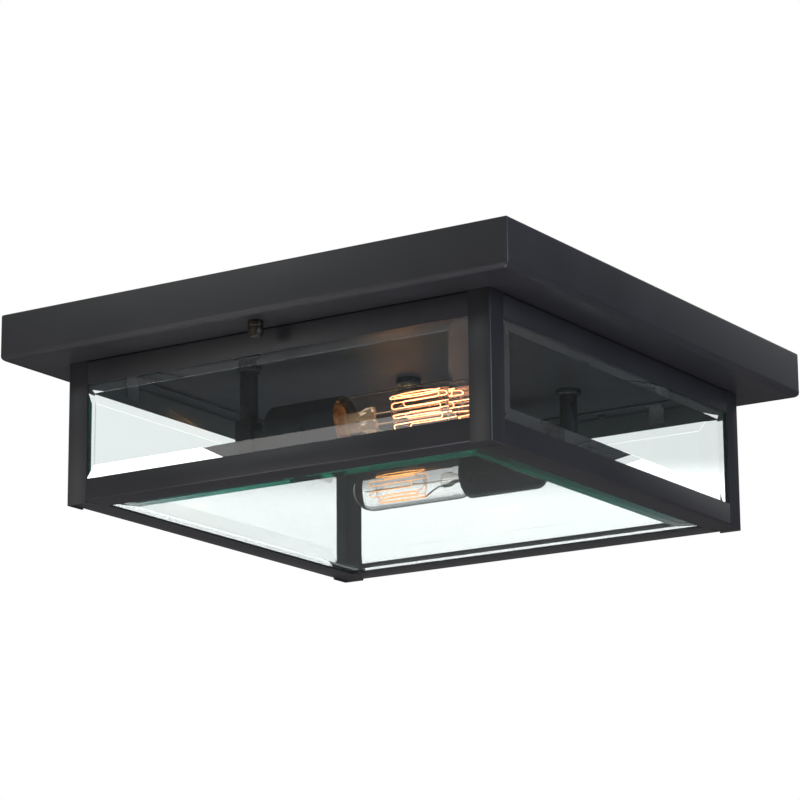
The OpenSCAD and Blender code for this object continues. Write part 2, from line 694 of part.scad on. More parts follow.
// The middle of leg j and the bend at its end
function leg_and_bend(j) = concat([on_ring(leg_turn * j, mid_u)],
    [for (a = [0:45:180])
        let (far = j % 2 == 0, turn = leg_turn * (j + (1 - cos(a)) / 2), rise = bend_r * (1 - sin(a)))
        on_ring(turn, far ? far_u - rise : ring_u + rise)]);
loop_path = concat([on_ring(0, ring_u)], [for (j = [0:last_leg - 1]) each leg_and_bend(j)],
    [on_ring(leg_turn * last_leg, mid_u), on_ring(leg_turn * last_leg, ring_u)]);
function least_gap(p, r) = min([for (i = [0:len(p) - 4], j = [i + 3:len(p) - 1]) norm(p[i] - p[j])]) - 2 * r;
echo(filament_least_gap = least_gap(loop_path, fil_r));
module filament(k) color("#ffb347") lamp(k) on_axis() sweep(loop_path, fil_r, 6, function(p) [p.x, p.y, 0]);
module filament_a() filament(0);
module filament_b() filament(1);

// ---------- what each name draws ----------

canopy_pan();
mounting_bar();
mounting_studs();
bar_nuts();
centre_nipple();
centre_nut();
cap_nut_front();
cap_nut_rear();
cage_nuts();
cage_studs();
post_front_right();
post_rear_right();
post_rear_left();
post_front_left();
top_rail_front();
top_rail_right();
top_rail_rear();
top_rail_left();
bottom_rail_front();
bottom_rail_right();
bottom_rail_rear();
bottom_rail_left();
side_pane_front();
side_pane_right();
side_pane_rear();
side_pane_left();
bottom_pane();
glass_clips();
stem_nuts();
stem_nipples();
stem_a();
stem_b();
collar_a();
collar_b();
elbow_a();
elbow_b();
socket_cup_a();
socket_cup_b();
socket_base_a();
socket_base_b();
socket_sleeve_a();
socket_sleeve_b();
screw_shell_a();
screw_shell_b();
centre_contacts();
lead_wires_black();
lead_wires_white();
wire_connectors();
ground_wire();
ground_screws();
lamp_glass_a();
lamp_glass_b();
lamp_cap_a();
lamp_cap_b();
lamp_mount_a();
lamp_mount_b();
filament_a();
filament_b();
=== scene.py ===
# %% [markdown]
# # A square porch ceiling lantern
#
# The lantern hangs from a ceiling: a wide black pan with a glazed cage under it, and two tubular
# lamps that lie in it side by side and point opposite ways. The construction comes from a packed
# CAD model, which is loaded first and stays where it is. This lesson dresses it: folded sheet
# metal, bevelled glass, blown glass and glowing wire.

# %% Load the frame
import json
import math

import bpy
from mathutils import Matrix, Vector


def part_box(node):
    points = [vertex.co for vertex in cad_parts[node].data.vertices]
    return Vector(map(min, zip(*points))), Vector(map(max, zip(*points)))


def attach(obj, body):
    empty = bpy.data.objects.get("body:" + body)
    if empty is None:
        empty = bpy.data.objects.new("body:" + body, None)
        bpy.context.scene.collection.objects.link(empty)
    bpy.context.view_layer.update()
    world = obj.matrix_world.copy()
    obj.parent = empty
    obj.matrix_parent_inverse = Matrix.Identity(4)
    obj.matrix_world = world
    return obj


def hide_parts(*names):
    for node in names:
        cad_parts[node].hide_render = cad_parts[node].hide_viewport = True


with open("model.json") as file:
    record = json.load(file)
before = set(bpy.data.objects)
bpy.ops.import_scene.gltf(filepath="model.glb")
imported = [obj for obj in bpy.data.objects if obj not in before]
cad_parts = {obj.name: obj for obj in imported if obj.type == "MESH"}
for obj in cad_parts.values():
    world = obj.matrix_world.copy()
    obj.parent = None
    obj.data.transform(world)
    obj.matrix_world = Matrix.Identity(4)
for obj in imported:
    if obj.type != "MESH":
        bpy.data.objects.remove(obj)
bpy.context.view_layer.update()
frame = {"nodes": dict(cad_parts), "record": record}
scene = bpy.context.scene
MM = 0.001

# %% [markdown]
# ## The camera
#
# The photograph was taken from low in front and to the right, with a long lens. These values come
# from fitting the corners of the pan and of the cage, so the lantern falls on the same places of
# the picture.

# %% Camera
camera_spot = Vector((1.1839, -1.8383, -0.5983))
camera_turn = math.radians(32.972)      # round the lantern, from the front towards the right
camera_tilt = math.radians(14.144)      # upwards
camera_roll = math.radians(-0.438)
lens_mm = 144.602

aim = (
    Matrix.Rotation(camera_turn, 4, "Z")
    @ Matrix.Rotation(math.radians(90) + camera_tilt, 4, "X")
    @ Matrix.Rotation(camera_roll, 4, "Z")
)
bpy.ops.object.camera_add(location=camera_spot, rotation=aim.to_euler())
camera = bpy.context.object
camera.data.lens = lens_mm
camera.data.sensor_width = 36
scene.camera = camera

# %% [markdown]
# ## The studio
#
# A product photograph of a black lamp on white lives on its reflections: satin paint shows little
# colour of its own and mostly mirrors what stands round it. So the world answers each kind of ray
# in its own way. The camera sees white, and what lights a dull surface is a dim room. A mirror
# shows a dark studio with a white card at the back and a pale front, and a pane shows the card
# itself, in soft bands. A mirror seen through glass shows a smaller card.

# %% World
room_level = 0.31                       # how much the surroundings light the lantern
card_level = 1.1                        # the white card as the glass shows it
card_bands = (                          # sines of the angle up, between which the card brightens or dims
    (0.168, 0.184, 1.3), (0.212, 0.226, -1.3), (0.25, 0.262, 1.3), (0.288, 0.298, -0.3), (0.36, 0.4, 0.5),
)
dark_level = 0.02                       # the dark of the studio, as shiny things mirror it
front_level = 0.13                      # the pale front of the studio, mirrored
inside_level = 0.05                     # the dark and the card as a mirror inside the glass shows them
card_inside_level = 1.4
card_way = Vector((-0.4, 0.61, 0.68))   # directions of the card and of the pale front
front_way = Vector((-0.53, -0.81, 0.24))
card_rim = (0.6, 0.85)                  # where the mirrored card begins and where it is full
card_rim_inside = (0.8, 0.92)

world = bpy.data.worlds.new("studio")
scene.world = world
world.use_nodes = True
nodes, links = world.node_tree.nodes, world.node_tree.links
background = nodes["Background"]
background.inputs["Color"].default_value = (1, 1, 1, 1)
rays = nodes.new("ShaderNodeLightPath")
way = nodes.new("ShaderNodeTexCoord")


def lobe(direction, start, end, low, high):
    """A strength that goes from low to high as a ray turns towards the given direction."""
    dot = nodes.new("ShaderNodeVectorMath")
    dot.operation = "DOT_PRODUCT"
    dot.inputs[1].default_value = direction
    links.new(way.outputs["Generated"], dot.inputs[0])
    rise = nodes.new("ShaderNodeMapRange")
    rise.interpolation_type = "SMOOTHSTEP"
    for name, number in (("From Min", start), ("From Max", end), ("To Min", low), ("To Max", high)):
        rise.inputs[name].default_value = number
    links.new(dot.outputs["Value"], rise.inputs["Value"])
    return rise.outputs["Result"]


def feed(socket, value):
    """Gives a socket a plain number, or links it to what another node puts out."""
    if isinstance(value, (int, float)):
        socket.default_value = value
    else:
        links.new(value, socket)


def reckon(operation, first, second):
    """One step of arithmetic, in the node tree at hand."""
    step = nodes.new("ShaderNodeMath")
    step.operation = operation
    feed(step.inputs[0], first)
    feed(step.inputs[1], second)
    return step.outputs["Value"]


def choose(which, when_no, when_yes):
    """The one value or the other, as a ray fails or passes a test."""
    switch = nodes.new("ShaderNodeMix")
    links.new(which, switch.inputs["Factor"])
    feed(switch.inputs["A"], when_no)
    feed(switch.inputs["B"], when_yes)
    return switch.outputs["Result"]


def after(kind):
    """A test: has the ray already met a mirror (Glossy), glass (Transmission) or paint (Diffuse)?"""
    return reckon("GREATER_THAN", rays.outputs[f"{kind} Depth"], 0.5)


mirrored_card = lobe(card_way, *card_rim, dark_level, 1.0)
mirrored = reckon("ADD", mirrored_card, lobe(front_way, 0.0, 1.0, 0.0, front_level))
mirrored_inside = lobe(card_way, *card_rim_inside, inside_level, card_inside_level)
card = card_level
for start, end, step in card_bands:
    card = reckon("ADD", card, lobe((0, 0, 1), start, end, 0.0, step))
strength = choose(after("Glossy"), card, choose(after("Transmission"), mirrored, mirrored_inside))
strength = choose(after("Diffuse"), strength, room_level)
strength = choose(rays.outputs["Is Camera Ray"], strength, 1.0)
links.new(strength, background.inputs["Strength"])

# %% Floor
floor_z = -2.8
floor_pale, floor_mirrored, floor_mirrored_inside = 0.88, 0.2, 0.03
bpy.ops.object.select_all(action="DESELECT")
bpy.ops.mesh.primitive_plane_add(size=24, location=(0, 0, floor_z))
floor = bpy.context.object
floor.name = "studio_floor"
floor_paint = bpy.data.materials.new("pale_floor")
floor_paint.use_nodes = True
nodes, links = floor_paint.node_tree.nodes, floor_paint.node_tree.links
rays = nodes.new("ShaderNodeLightPath")
mirrored = choose(after("Transmission"), floor_mirrored, floor_mirrored_inside)
paint = nodes["Principled BSDF"]
links.new(choose(after("Glossy"), floor_pale, mirrored), paint.inputs["Base Color"])
paint.inputs["Roughness"].default_value = 0.9
floor.data.materials.append(floor_paint)

# %% [markdown]
# Six soft panels stand round the lantern. The ones in front, on the left and below draw the bright
# lines along the folds and light the undersides, and the one on the right gives the right side its
# cool sheen. Neither the camera nor a pane sees a panel, so none shows through the glass.

# %% Soft panels
lantern_middle = Vector((0, 0, -0.08))


def soft_panel(name, direction, distance, size, radiance, colour):
    """A square area light that looks at the lantern from the given direction."""
    away = Vector(direction).normalized()
    bpy.ops.object.light_add(type="AREA", location=lantern_middle + away * distance)
    panel = bpy.context.object
    panel.name = name
    panel.rotation_euler = away.to_track_quat("Z", "Y").to_euler()
    panel.data.size = size
    panel.data.energy = radiance * math.pi * size * size
    panel.data.color = colour
    panel.visible_camera = False
    panel.visible_transmission = False
    print(name, "gives", round(panel.data.energy, 1), "W")


soft_panel("panel_low_left", (-0.53, -0.7, -0.48), 1.3, 0.4, 6.0, (1.0, 0.99, 0.97))
soft_panel("panel_right", (0.93, -0.12, 0.08), 3.0, 1.8, 5.4, (0.82, 0.92, 1.14))
soft_panel("panel_front", (0.2, -0.95, 0.3), 3.0, 1.2, 1.1, (1.0, 1.0, 1.0))
soft_panel("panel_level_front", (-0.53, -0.85, -0.02), 3.0, 0.9, 2.35, (1.0, 0.99, 0.95))
soft_panel("panel_below", (0.1, -0.25, -1.0), 2.2, 1.6, 5.0, (1.0, 0.97, 1.06))
soft_panel("panel_high_front", (-0.53, -0.7, 0.5), 3.0, 0.9, 2.6, (0.93, 1.0, 1.0))

# %% [markdown]
# Light that enters a pane at its edge runs along inside it and is thrown back by its faces dozens
# of times. So a path may bounce far more often than usual, or the pane's green edge would go black.

# %% Light paths
pane_bounces = 110
scene.view_settings.view_transform = "Standard"
scene.cycles.max_bounces = pane_bounces
scene.cycles.transmission_bounces = pane_bounces
scene.cycles.glossy_bounces = pane_bounces
scene.cycles.transparent_max_bounces = 32

# %% [markdown]
# ## Tools for the bench
#
# An operator works on whatever is selected, so each helper first picks one object, or the faces,
# edges or corners of one, by their place. A finished piece keeps its object at the origin,
# unturned, with its place in its mesh.


# %% Helpers: selecting and shaping
def only(obj):
    """Selects this object alone and makes it the active one."""
    if bpy.context.object and bpy.context.object.mode != "OBJECT":
        bpy.ops.object.mode_set(mode="OBJECT")
    bpy.ops.object.select_all(action="DESELECT")
    obj.select_set(True)
    bpy.context.view_layer.objects.active = obj


def pick(obj, kind, test):
    """Goes into edit mode with the corners, edges or faces of obj that pass the test selected."""
    only(obj)
    bpy.ops.object.mode_set(mode="EDIT")
    bpy.ops.mesh.select_mode(type=kind)
    bpy.ops.mesh.select_all(action="DESELECT")
    bpy.ops.object.mode_set(mode="OBJECT")
    mesh = obj.data
    if kind == "VERT":
        for corner in mesh.vertices:
            corner.select = test(corner.co)
    elif kind == "EDGE":
        for edge in mesh.edges:
            a, b = (mesh.vertices[i].co for i in edge.vertices)
            edge.select = test(a, b)
    else:
        for face in mesh.polygons:
            face.select = test(face.center, face.normal)
    bpy.ops.object.mode_set(mode="EDIT")


def pick_all(obj):
    """Goes into edit mode with everything selected."""
    pick(obj, "VERT", lambda corner: True)


def done():
    """Leaves edit mode."""
    bpy.ops.object.mode_set(mode="OBJECT")


def near(a, b, slack=2e-5):
    """Whether two lengths are the same to within a fiftieth of a millimetre."""
    return abs(a - b) < slack


def block(name, low, high):
    """A box between two corners, with its place in its mesh."""
    low, high = Vector(low), Vector(high)
    bpy.ops.object.select_all(action="DESELECT")
    bpy.ops.mesh.primitive_cube_add(size=1, location=(low + high) / 2, scale=high - low)
    obj = bpy.context.object
    obj.name = obj.data.name = name
    settle(obj)
    return obj


def settle(obj):
    """Puts the object's place, turn and size into its mesh."""
    only(obj)
    bpy.ops.object.transform_apply(location=True, rotation=True, scale=True)


def modify(obj, kind, **settings):
    """Adds a modifier and applies it."""
    only(obj)
    bpy.ops.object.modifier_add(type=kind)
    modifier = obj.modifiers[-1]
    for name, value in settings.items():
        setattr(modifier, name, value)
    bpy.ops.object.modifier_apply(modifier=modifier.name)


def soften(obj, width, segments=2, angle=40):
    """Breaks every sharp edge by a small rounding, as filing or paint does."""
    modify(obj, "BEVEL", width=width, segments=segments, limit_method="ANGLE",
           angle_limit=math.radians(angle), harden_normals=False)


def weld(obj, gap=2e-6):
    """Merges corners that all but touch, drops what has no area, and turns every face outward."""
    pick_all(obj)
    bpy.ops.mesh.remove_doubles(threshold=gap)
    bpy.ops.mesh.dissolve_degenerate(threshold=gap)
    bpy.ops.mesh.delete_loose()
    bpy.ops.mesh.select_all(action="SELECT")
    bpy.ops.mesh.normals_make_consistent(inside=False)
    done()


def fold_box(name, low, high, ways, radius, segments):
    """Keeps the two faces of a box that look the given ways, and rounds the fold where they meet."""
    low, high = Vector(low), Vector(high)
    skin = block(name, low, high)
    pick(skin, "FACE", lambda middle, normal: not any(normal.dot(way) > 0.9 for way in ways))
    bpy.ops.mesh.delete(type="ONLY_FACE")
    reach = [max(corner.dot(way) for corner in (low, high)) for way in ways]
    pick(skin, "EDGE", lambda *ends: all(
        near(end.dot(way), far) for end in ends for way, far in zip(ways, reach)))
    bpy.ops.mesh.bevel(offset=radius, segments=segments, affect="EDGES")
    return skin


def thicken(skin, sheet):
    """Drops a skin's loose edges and gives it the thickness of its sheet, inwards."""
    pick_all(skin)
    bpy.ops.mesh.delete_loose()
    done()
    modify(skin, "SOLIDIFY", thickness=sheet, offset=-1, use_even_offset=True)


def smooth(obj, angle=35):
    """Shades the piece smooth, but for edges sharper than the angle."""
    only(obj)
    bpy.ops.object.shade_smooth_by_angle(angle=math.radians(angle))


def copy_of(obj, name, turn=0.0):
    """A copy with its own mesh, turned about the lantern's upright axis."""
    only(obj)
    bpy.ops.object.duplicate()
    twin = bpy.context.object
    twin.name = twin.data.name = name
    twin.rotation_euler = (0, 0, turn)
    settle(twin)
    return twin


def join(name, parts):
    """Makes several objects one."""
    only(parts[0])
    for part in parts:
        part.select_set(True)
    bpy.ops.object.join()
    joined = bpy.context.object
    joined.name = joined.data.name = name
    return joined


# %% Helpers: turned shapes and wires
def arc(centre, radius, start, end, steps):
    """Points (across, along) on an arc, angles in degrees from the across direction."""
    angles = [math.radians(start + (end - start) * i / steps) for i in range(steps + 1)]
    return [(centre[0] + radius * math.cos(a), centre[1] + radius * math.sin(a)) for a in angles]


def chain(name, points):
    """Corners joined by edges in the plane y = 0, each extruded from the last. It ends in edit mode."""
    bpy.ops.object.select_all(action="DESELECT")
    bpy.ops.mesh.primitive_plane_add(size=MM)
    obj = bpy.context.object
    obj.name = obj.data.name = name
    bpy.ops.object.mode_set(mode="EDIT")
    bpy.ops.mesh.select_mode(type="VERT")
    bpy.ops.mesh.select_all(action="SELECT")
    bpy.ops.mesh.merge(type="CENTER")
    bpy.ops.transform.translate(value=(points[0][0], 0, points[0][1]))
    for (r0, h0), (r1, h1) in zip(points, points[1:]):
        bpy.ops.mesh.extrude_vertices_move(TRANSFORM_OT_translate={"value": (r1 - r0, 0, h1 - h0)})
    bpy.ops.mesh.select_all(action="SELECT")
    return obj


def lathe(name, outline, steps=64):
    """Spins an outline of (radius, height) points about Z, as on a lathe."""
    obj = chain(name, outline)
    bpy.ops.mesh.spin(steps=steps, angle=2 * math.pi, center=(0, 0, 0), axis=(0, 0, 1))
    bpy.ops.mesh.select_all(action="SELECT")
    done()
    weld(obj, 1e-6)
    return obj


def stand(obj, place, tilt=(0, 0, 0)):
    """Turns a piece made at the origin and moves it to its place."""
    obj.location = place
    obj.rotation_euler = tilt
    settle(obj)
    return obj


def wire(name, points, radius, sides=12):
    """A round wire along points: a curve given a round section, then made a mesh."""
    line = bpy.data.curves.new(name, "CURVE")
    line.dimensions = "3D"
    line.bevel_depth = radius
    line.bevel_resolution = max(sides // 4 - 1, 0)
    line.use_fill_caps = True
    spline = line.splines.new("POLY")
    spline.points.add(len(points) - 1)
    for knot, point in zip(spline.points, points):
        knot.co = (*point, 1)
    obj = bpy.data.objects.new(name, line)
    scene.collection.objects.link(obj)
    only(obj)
    bpy.ops.object.convert(target="MESH")
    obj = bpy.context.object
    obj.data.name = name
    weld(obj, 1e-6)
    smooth(obj, 60)
    return obj


# %% [markdown]
# ## Finishes
#
# Each finish is a Principled material. What differs over the surface comes from noise on Object
# coordinates, in real sizes: the clouds in paint, the crystals of zinc, the drawn lines of steel. A
# finish could use one noise for each property, but on real metal the dull places are the pale ones
# too, so one noise moves both colour and gloss.


# %% Helpers: a material and its noise
def new_finish(name, colour, roughness, metallic=0.0):
    """A Principled material of one colour, and its shader."""
    material = bpy.data.materials.new(name)
    material.use_nodes = True
    shader = material.node_tree.nodes["Principled BSDF"]
    shader.inputs["Base Color"].default_value = (*colour, 1)
    shader.inputs["Roughness"].default_value = roughness
    shader.inputs["Metallic"].default_value = metallic
    return material, shader


def add_noise(material, size_mm, detail=3, stretch=(1, 1, 1)):
    """Noise whose features are about size_mm across, on Object coordinates."""
    nodes, links = material.node_tree.nodes, material.node_tree.links
    place = nodes.new("ShaderNodeTexCoord")
    mapping = nodes.new("ShaderNodeMapping")
    mapping.inputs["Scale"].default_value = stretch
    noise = nodes.new("ShaderNodeTexNoise")
    noise.inputs["Scale"].default_value = 1 / (size_mm * MM)
    noise.inputs["Detail"].default_value = detail
    links.new(place.outputs["Object"], mapping.inputs["Vector"])
    links.new(mapping.outputs["Vector"], noise.inputs["Vector"])
    return noise.outputs["Fac"]


def vary(material, source, socket, low, high, start=0.3, end=0.7):
    """Drives a plain number socket between two values."""
    nodes, links = material.node_tree.nodes, material.node_tree.links
    span = nodes.new("ShaderNodeMapRange")
    for name, number in (("From Min", start), ("From Max", end), ("To Min", low), ("To Max", high)):
        span.inputs[name].default_value = number
    links.new(source, span.inputs["Value"])
    links.new(span.outputs["Result"], socket)


def tint(material, source, socket, colours, start=0.3, end=0.7):
    """Drives a colour socket between two colours."""
    nodes, links = material.node_tree.nodes, material.node_tree.links
    ramp = nodes.new("ShaderNodeValToRGB")
    for element, position, colour in zip(ramp.color_ramp.elements, (start, end), colours):
        element.position = position
        element.color = (*colour, 1)
    links.new(source, ramp.inputs["Fac"])
    links.new(ramp.outputs["Color"], socket)


def bump(material, source, shader, depth_mm, strength):
    """Raises and sinks the shaded surface by a noise."""
    nodes, links = material.node_tree.nodes, material.node_tree.links
    relief = nodes.new("ShaderNodeBump")
    relief.inputs["Distance"].default_value = depth_mm * MM
    relief.inputs["Strength"].default_value = strength
    links.new(source, relief.inputs["Height"])
    links.new(relief.outputs["Normal"], shader.inputs["Normal"])


def coat(name, colour, roughness, metallic, grain, shades, dullness, relief=None):
    """A finish that wanders between two shades and two roughnesses.

    grain is the noise's size in mm, its detail and its stretch.
    relief is a second noise's size in mm, the depth it makes in mm, and how strongly that shows.
    """
    material, shader = new_finish(name, colour, roughness, metallic)
    cloud = add_noise(material, *grain)
    tint(material, cloud, shader.inputs["Base Color"], shades)
    vary(material, cloud, shader.inputs["Roughness"], *dullness)
    if relief:
        size, depth, strength = relief
        bump(material, add_noise(material, size, 2), shader, depth, strength)
    return material


# %% [markdown]
# The black is a satin outdoor paint over steel. Its own colour is almost nothing, and a thin sheen
# of grey comes from the room. A very fine orange peel breaks the sheen up close, and the gloss
# wanders a little from place to place. Cups and stems have a glossier lacquer, and the hidden steel
# is plated.


# %% Painted and plated metals
def plate_zinc(name, light, dark):
    """Bright plating with small crystals."""
    return coat(name, light, 0.35, 1.0, (3, 4), (dark, light), (0.24, 0.46))


black = coat("satin_black_paint", (0.019, 0.019, 0.021), 0.36, 0.0, (60, 2),
             ((0.017, 0.017, 0.0188), (0.0212, 0.021, 0.0232)), (0.33, 0.41), (0.9, 0.003, 0.35))
black.node_tree.nodes["Principled BSDF"].inputs["Specular IOR Level"].default_value = 0.36
gloss_black = coat("gloss_black_lacquer", (0.014, 0.015, 0.016), 0.2, 0.0, (18, 2),
                   ((0.012, 0.013, 0.014), (0.017, 0.018, 0.0185)), (0.16, 0.25), (1.4, 0.004, 0.3))
polished = coat("polished_clip_steel", (0.8, 0.82, 0.84), 0.18, 1.0, (0.6, 3, (1, 1, 0.05)),
                ((0.66, 0.68, 0.71), (0.86, 0.88, 0.9)), (0.1, 0.26))
bronze = coat("dark_bronze_plate", (0.045, 0.04, 0.025), 0.4, 0.6, (4, 3),
              ((0.014, 0.013, 0.01), (0.036, 0.03, 0.02)), (0.3, 0.5))
brass = coat("pressed_brass", (0.72, 0.54, 0.25), 0.3, 1.0, (5, 4),
             ((0.55, 0.4, 0.19), (0.78, 0.6, 0.3)), (0.22, 0.42))
zinc = plate_zinc("bright_zinc_plate", (0.7, 0.71, 0.73), (0.5, 0.51, 0.54))
yellow_zinc = plate_zinc("yellow_zinc_plate", (0.72, 0.6, 0.32), (0.52, 0.43, 0.25))
green_lacquer = plate_zinc("green_lacquered_steel", (0.12, 0.42, 0.17), (0.07, 0.3, 0.11))


# %% Plastics and ceramic
def mould(name, colour, roughness):
    """A moulded or glazed skin: even, with faint clouds and a fine grain."""
    darker = tuple(0.82 * c for c in colour)
    dullness = (roughness - 0.06, roughness + 0.08)
    return coat(name, colour, roughness, 0.0, (6, 3), (darker, colour), dullness, (0.5, 0.01, 0.4))


porcelain = mould("glazed_porcelain", (0.85, 0.83, 0.77), 0.22)
fibre = mould("waxed_paper", (0.5, 0.3, 0.12), 0.5)
black_skin = mould("black_wire_skin", (0.018, 0.018, 0.02), 0.45)
white_skin = mould("white_wire_skin", (0.8, 0.8, 0.77), 0.45)
green_skin = mould("green_wire_skin", (0.04, 0.26, 0.08), 0.45)
orange_nylon = mould("orange_nylon", (0.76, 0.36, 0.06), 0.4)


# %% [markdown]
# Float glass looks clear through its face and green along its width, because light that enters at
# an edge runs through a hand's breadth of it. A faint Volume Absorption gives both. The front
# lamp's thin glass is amber in the same way. Rays from lamps pass straight through by a Transparent
# shader, so that what is behind the glass is lit.


# %% Glass
def clear_glass(name, ior, shadow_tint, body=(1, 1, 1), clearness=1.0, absorbs=None):
    """Clear glass. absorbs is the colour that light takes on inside it, and how fast (per metre)."""
    material, shader = new_finish(name, body, 0.0)
    shader.inputs["Transmission Weight"].default_value = clearness
    shader.inputs["IOR"].default_value = ior
    nodes, links = material.node_tree.nodes, material.node_tree.links
    output = nodes["Material Output"]
    rays = nodes.new("ShaderNodeLightPath")
    straight = nodes.new("ShaderNodeBsdfTransparent")
    straight.inputs["Color"].default_value = (*shadow_tint, 1)
    either = nodes.new("ShaderNodeMixShader")
    links.new(rays.outputs["Is Shadow Ray"], either.inputs["Fac"])
    links.new(shader.outputs["BSDF"], either.inputs[1])
    links.new(straight.outputs["BSDF"], either.inputs[2])
    links.new(either.outputs["Shader"], output.inputs["Surface"])
    if absorbs:
        colour, density = absorbs
        depth = nodes.new("ShaderNodeVolumeAbsorption")
        depth.inputs["Color"].default_value = (*colour, 1)
        depth.inputs["Density"].default_value = density
        links.new(depth.outputs["Volume"], output.inputs["Volume"])
    return material


pane_glass = clear_glass("float_glass", 1.52, (0.95, 0.985, 0.975), absorbs=((0.0, 0.72, 0.6), 10.0))
bulb_glass = clear_glass("blown_glass", 1.5, (0.97, 0.97, 0.97))
amber_glass = clear_glass("amber_blown_glass", 1.5, (0.98, 0.9, 0.75), absorbs=((1.0, 0.5, 0.1), 220.0))
foot_glass = clear_glass("drawn_glass", 1.3, (0.95, 0.95, 0.95), (0.96, 0.93, 0.88), 0.95)
# Lamp a's foot is the same drawn glass made warmer and cloudier: its warm tint is a painted glow standing in
# for the light of its filament.
foot_glass_painted_glow = clear_glass("drawn_glass_painted_glow", 1.45, (0.95, 0.9, 0.8), (1.0, 0.84, 0.68), 0.88)
black_glass = mould("black_cap_glass", (0.02, 0.02, 0.03), 0.12)


def haze_on_bevels(material, haze):
    """Lets ground slopes, which look along none of the three axes, scatter a little light."""
    nodes, links = material.node_tree.nodes, material.node_tree.links
    place = nodes.new("ShaderNodeTexCoord")
    unsigned = nodes.new("ShaderNodeVectorMath")
    unsigned.operation = "ABSOLUTE"
    links.new(place.outputs["Normal"], unsigned.inputs[0])
    parts = nodes.new("ShaderNodeSeparateXYZ")
    links.new(unsigned.outputs["Vector"], parts.inputs["Vector"])
    largest = parts.outputs["X"]
    for axis in "YZ":
        step = nodes.new("ShaderNodeMath")
        step.operation = "MAXIMUM"
        links.new(largest, step.inputs[0])
        links.new(parts.outputs[axis], step.inputs[1])
        largest = step.outputs["Value"]
    shader = nodes["Principled BSDF"]
    slope, flat = 0.997, 0.9995
    vary(material, largest, shader.inputs["Transmission Weight"], 1 - haze, 1.0, slope, flat)


haze_on_bevels(pane_glass, 0.015)


# %% [markdown]
# The loops glow. The wire of the front lamp burns a bright orange white. The one at the back shows
# as pale amber lines, because the white card stands behind it.


# %% Glow
def glow_wire(name, cool, hot, strength):
    """A wire that glows between two colours, as it is hotter in some places than in others."""
    material, shader = new_finish(name, (0.9, 0.45, 0.15), 0.5)
    heat = add_noise(material, 14, 2)
    tint(material, heat, shader.inputs["Emission Color"], (cool, hot))
    shader.inputs["Emission Strength"].default_value = strength
    return material


glow_bright = glow_wire("bright_glowing_wire", (1.0, 0.27, 0.09), (1.0, 0.48, 0.26), 5.5)
glow_pale = glow_wire("pale_glowing_wire", (1.0, 0.36, 0.06), (1.0, 0.48, 0.12), 2.1)

# %% [markdown]
# ## Dressing the CAD nodes
#
# Every CAD node has a material slot, which says what it is made of. The nodes get that finish
# first. Then each is rebuilt as a fuller piece that stands for it, rides on the same body and takes
# the same finish, unless a better one is named. What belongs to a lamp is made once, for lamp a,
# and turned half round for lamp b.

# %% Finishes by slot
finish_of_slot = {
    "black_paint": black, "dark_bronze": bronze, "zinc_steel": zinc, "yellow_zinc": yellow_zinc,
    "brass": brass, "pane_glass": pane_glass, "lamp_glass": bulb_glass, "lamp_foot": foot_glass,
    "glowing_filament": glow_bright, "porcelain": porcelain, "fibre_sleeve": fibre,
    "black_insulation": black_skin, "white_insulation": white_skin, "green_insulation": green_skin,
    "green_screw": green_lacquer, "wire_connector": orange_nylon,
}
slot_of_node = {s["node"]: s["material_slot"] for s in frame["record"]["subparts"]}
for name, node in frame["nodes"].items():
    node.data.materials.clear()
    node.data.materials.append(finish_of_slot[slot_of_node[name]])
body_of_node = {n: b for b, names in frame["record"]["behaviour"]["bodies"].items() for n in names}


def finish_piece(obj, node, material=None, slot=None):
    """Gives a new piece its finish and body and lets it stand for its CAD node."""
    slot = slot or slot_of_node[node]
    obj.data.materials.clear()
    obj.data.materials.append(material or finish_of_slot[slot])
    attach(obj, body_of_node[node])
    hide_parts(node)


def pair(obj, name, node, material_a=None, material_b=None):
    """Makes the second lamp's copy of a piece, half a turn round, and finishes both."""
    obj.name = obj.data.name = f"{name}_a"
    twin = copy_of(obj, f"{name}_b", math.pi)
    finish_piece(obj, f"{node}_a", material_a)
    finish_piece(twin, f"{node}_b", material_b)


# %% [markdown]
# ## The pan
#
# A square of sheet steel, folded down on four sides with a soft bend and welded at the corners. It
# could be carved from a box with a Boolean, but it is quicker to keep the outside as a skin, round
# its edges, and give it the sheet's thickness at the end.

# %% Pan
sheet_pan = 1.2 * MM
pan_bend = 3.5 * MM
pan_corner = 1.5 * MM
paint_edge = 0.12 * MM
low_pan, high_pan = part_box("canopy_pan")
pan = block("pan_shell", low_pan, high_pan)
pick(pan, "FACE", lambda middle, normal: normal.z > 0.9)
bpy.ops.mesh.delete(type="ONLY_FACE")
pick(pan, "EDGE", lambda a, b: near(a.z, low_pan.z) and near(b.z, low_pan.z))
bpy.ops.mesh.bevel(offset=pan_bend, segments=8, affect="EDGES")
thicken(pan, sheet_pan)
bend_axis = (high_pan.x - pan_bend, low_pan.z + pan_bend)


def on_outer_corner(point):
    """True on the line that runs down an outer corner of the pan and round its bend."""
    out, up = abs(point.x) - bend_axis[0], bend_axis[1] - point.z
    if not near(abs(point.x), abs(point.y), 1e-6):
        return False
    return near(math.hypot(out, up), pan_bend, 5e-5) if up > 1e-6 else near(out, pan_bend, 1e-6)


pick(pan, "EDGE", lambda a, b: on_outer_corner(a) and on_outer_corner(b))
bpy.ops.mesh.bevel(offset=pan_corner, segments=4, affect="EDGES")
done()

# %% Holes in the pan
hole_nodes = {"mounting_studs": 0.5, "cage_studs": 0.5, "stem_nipples": 0.05, "centre_nipple": 0.05}


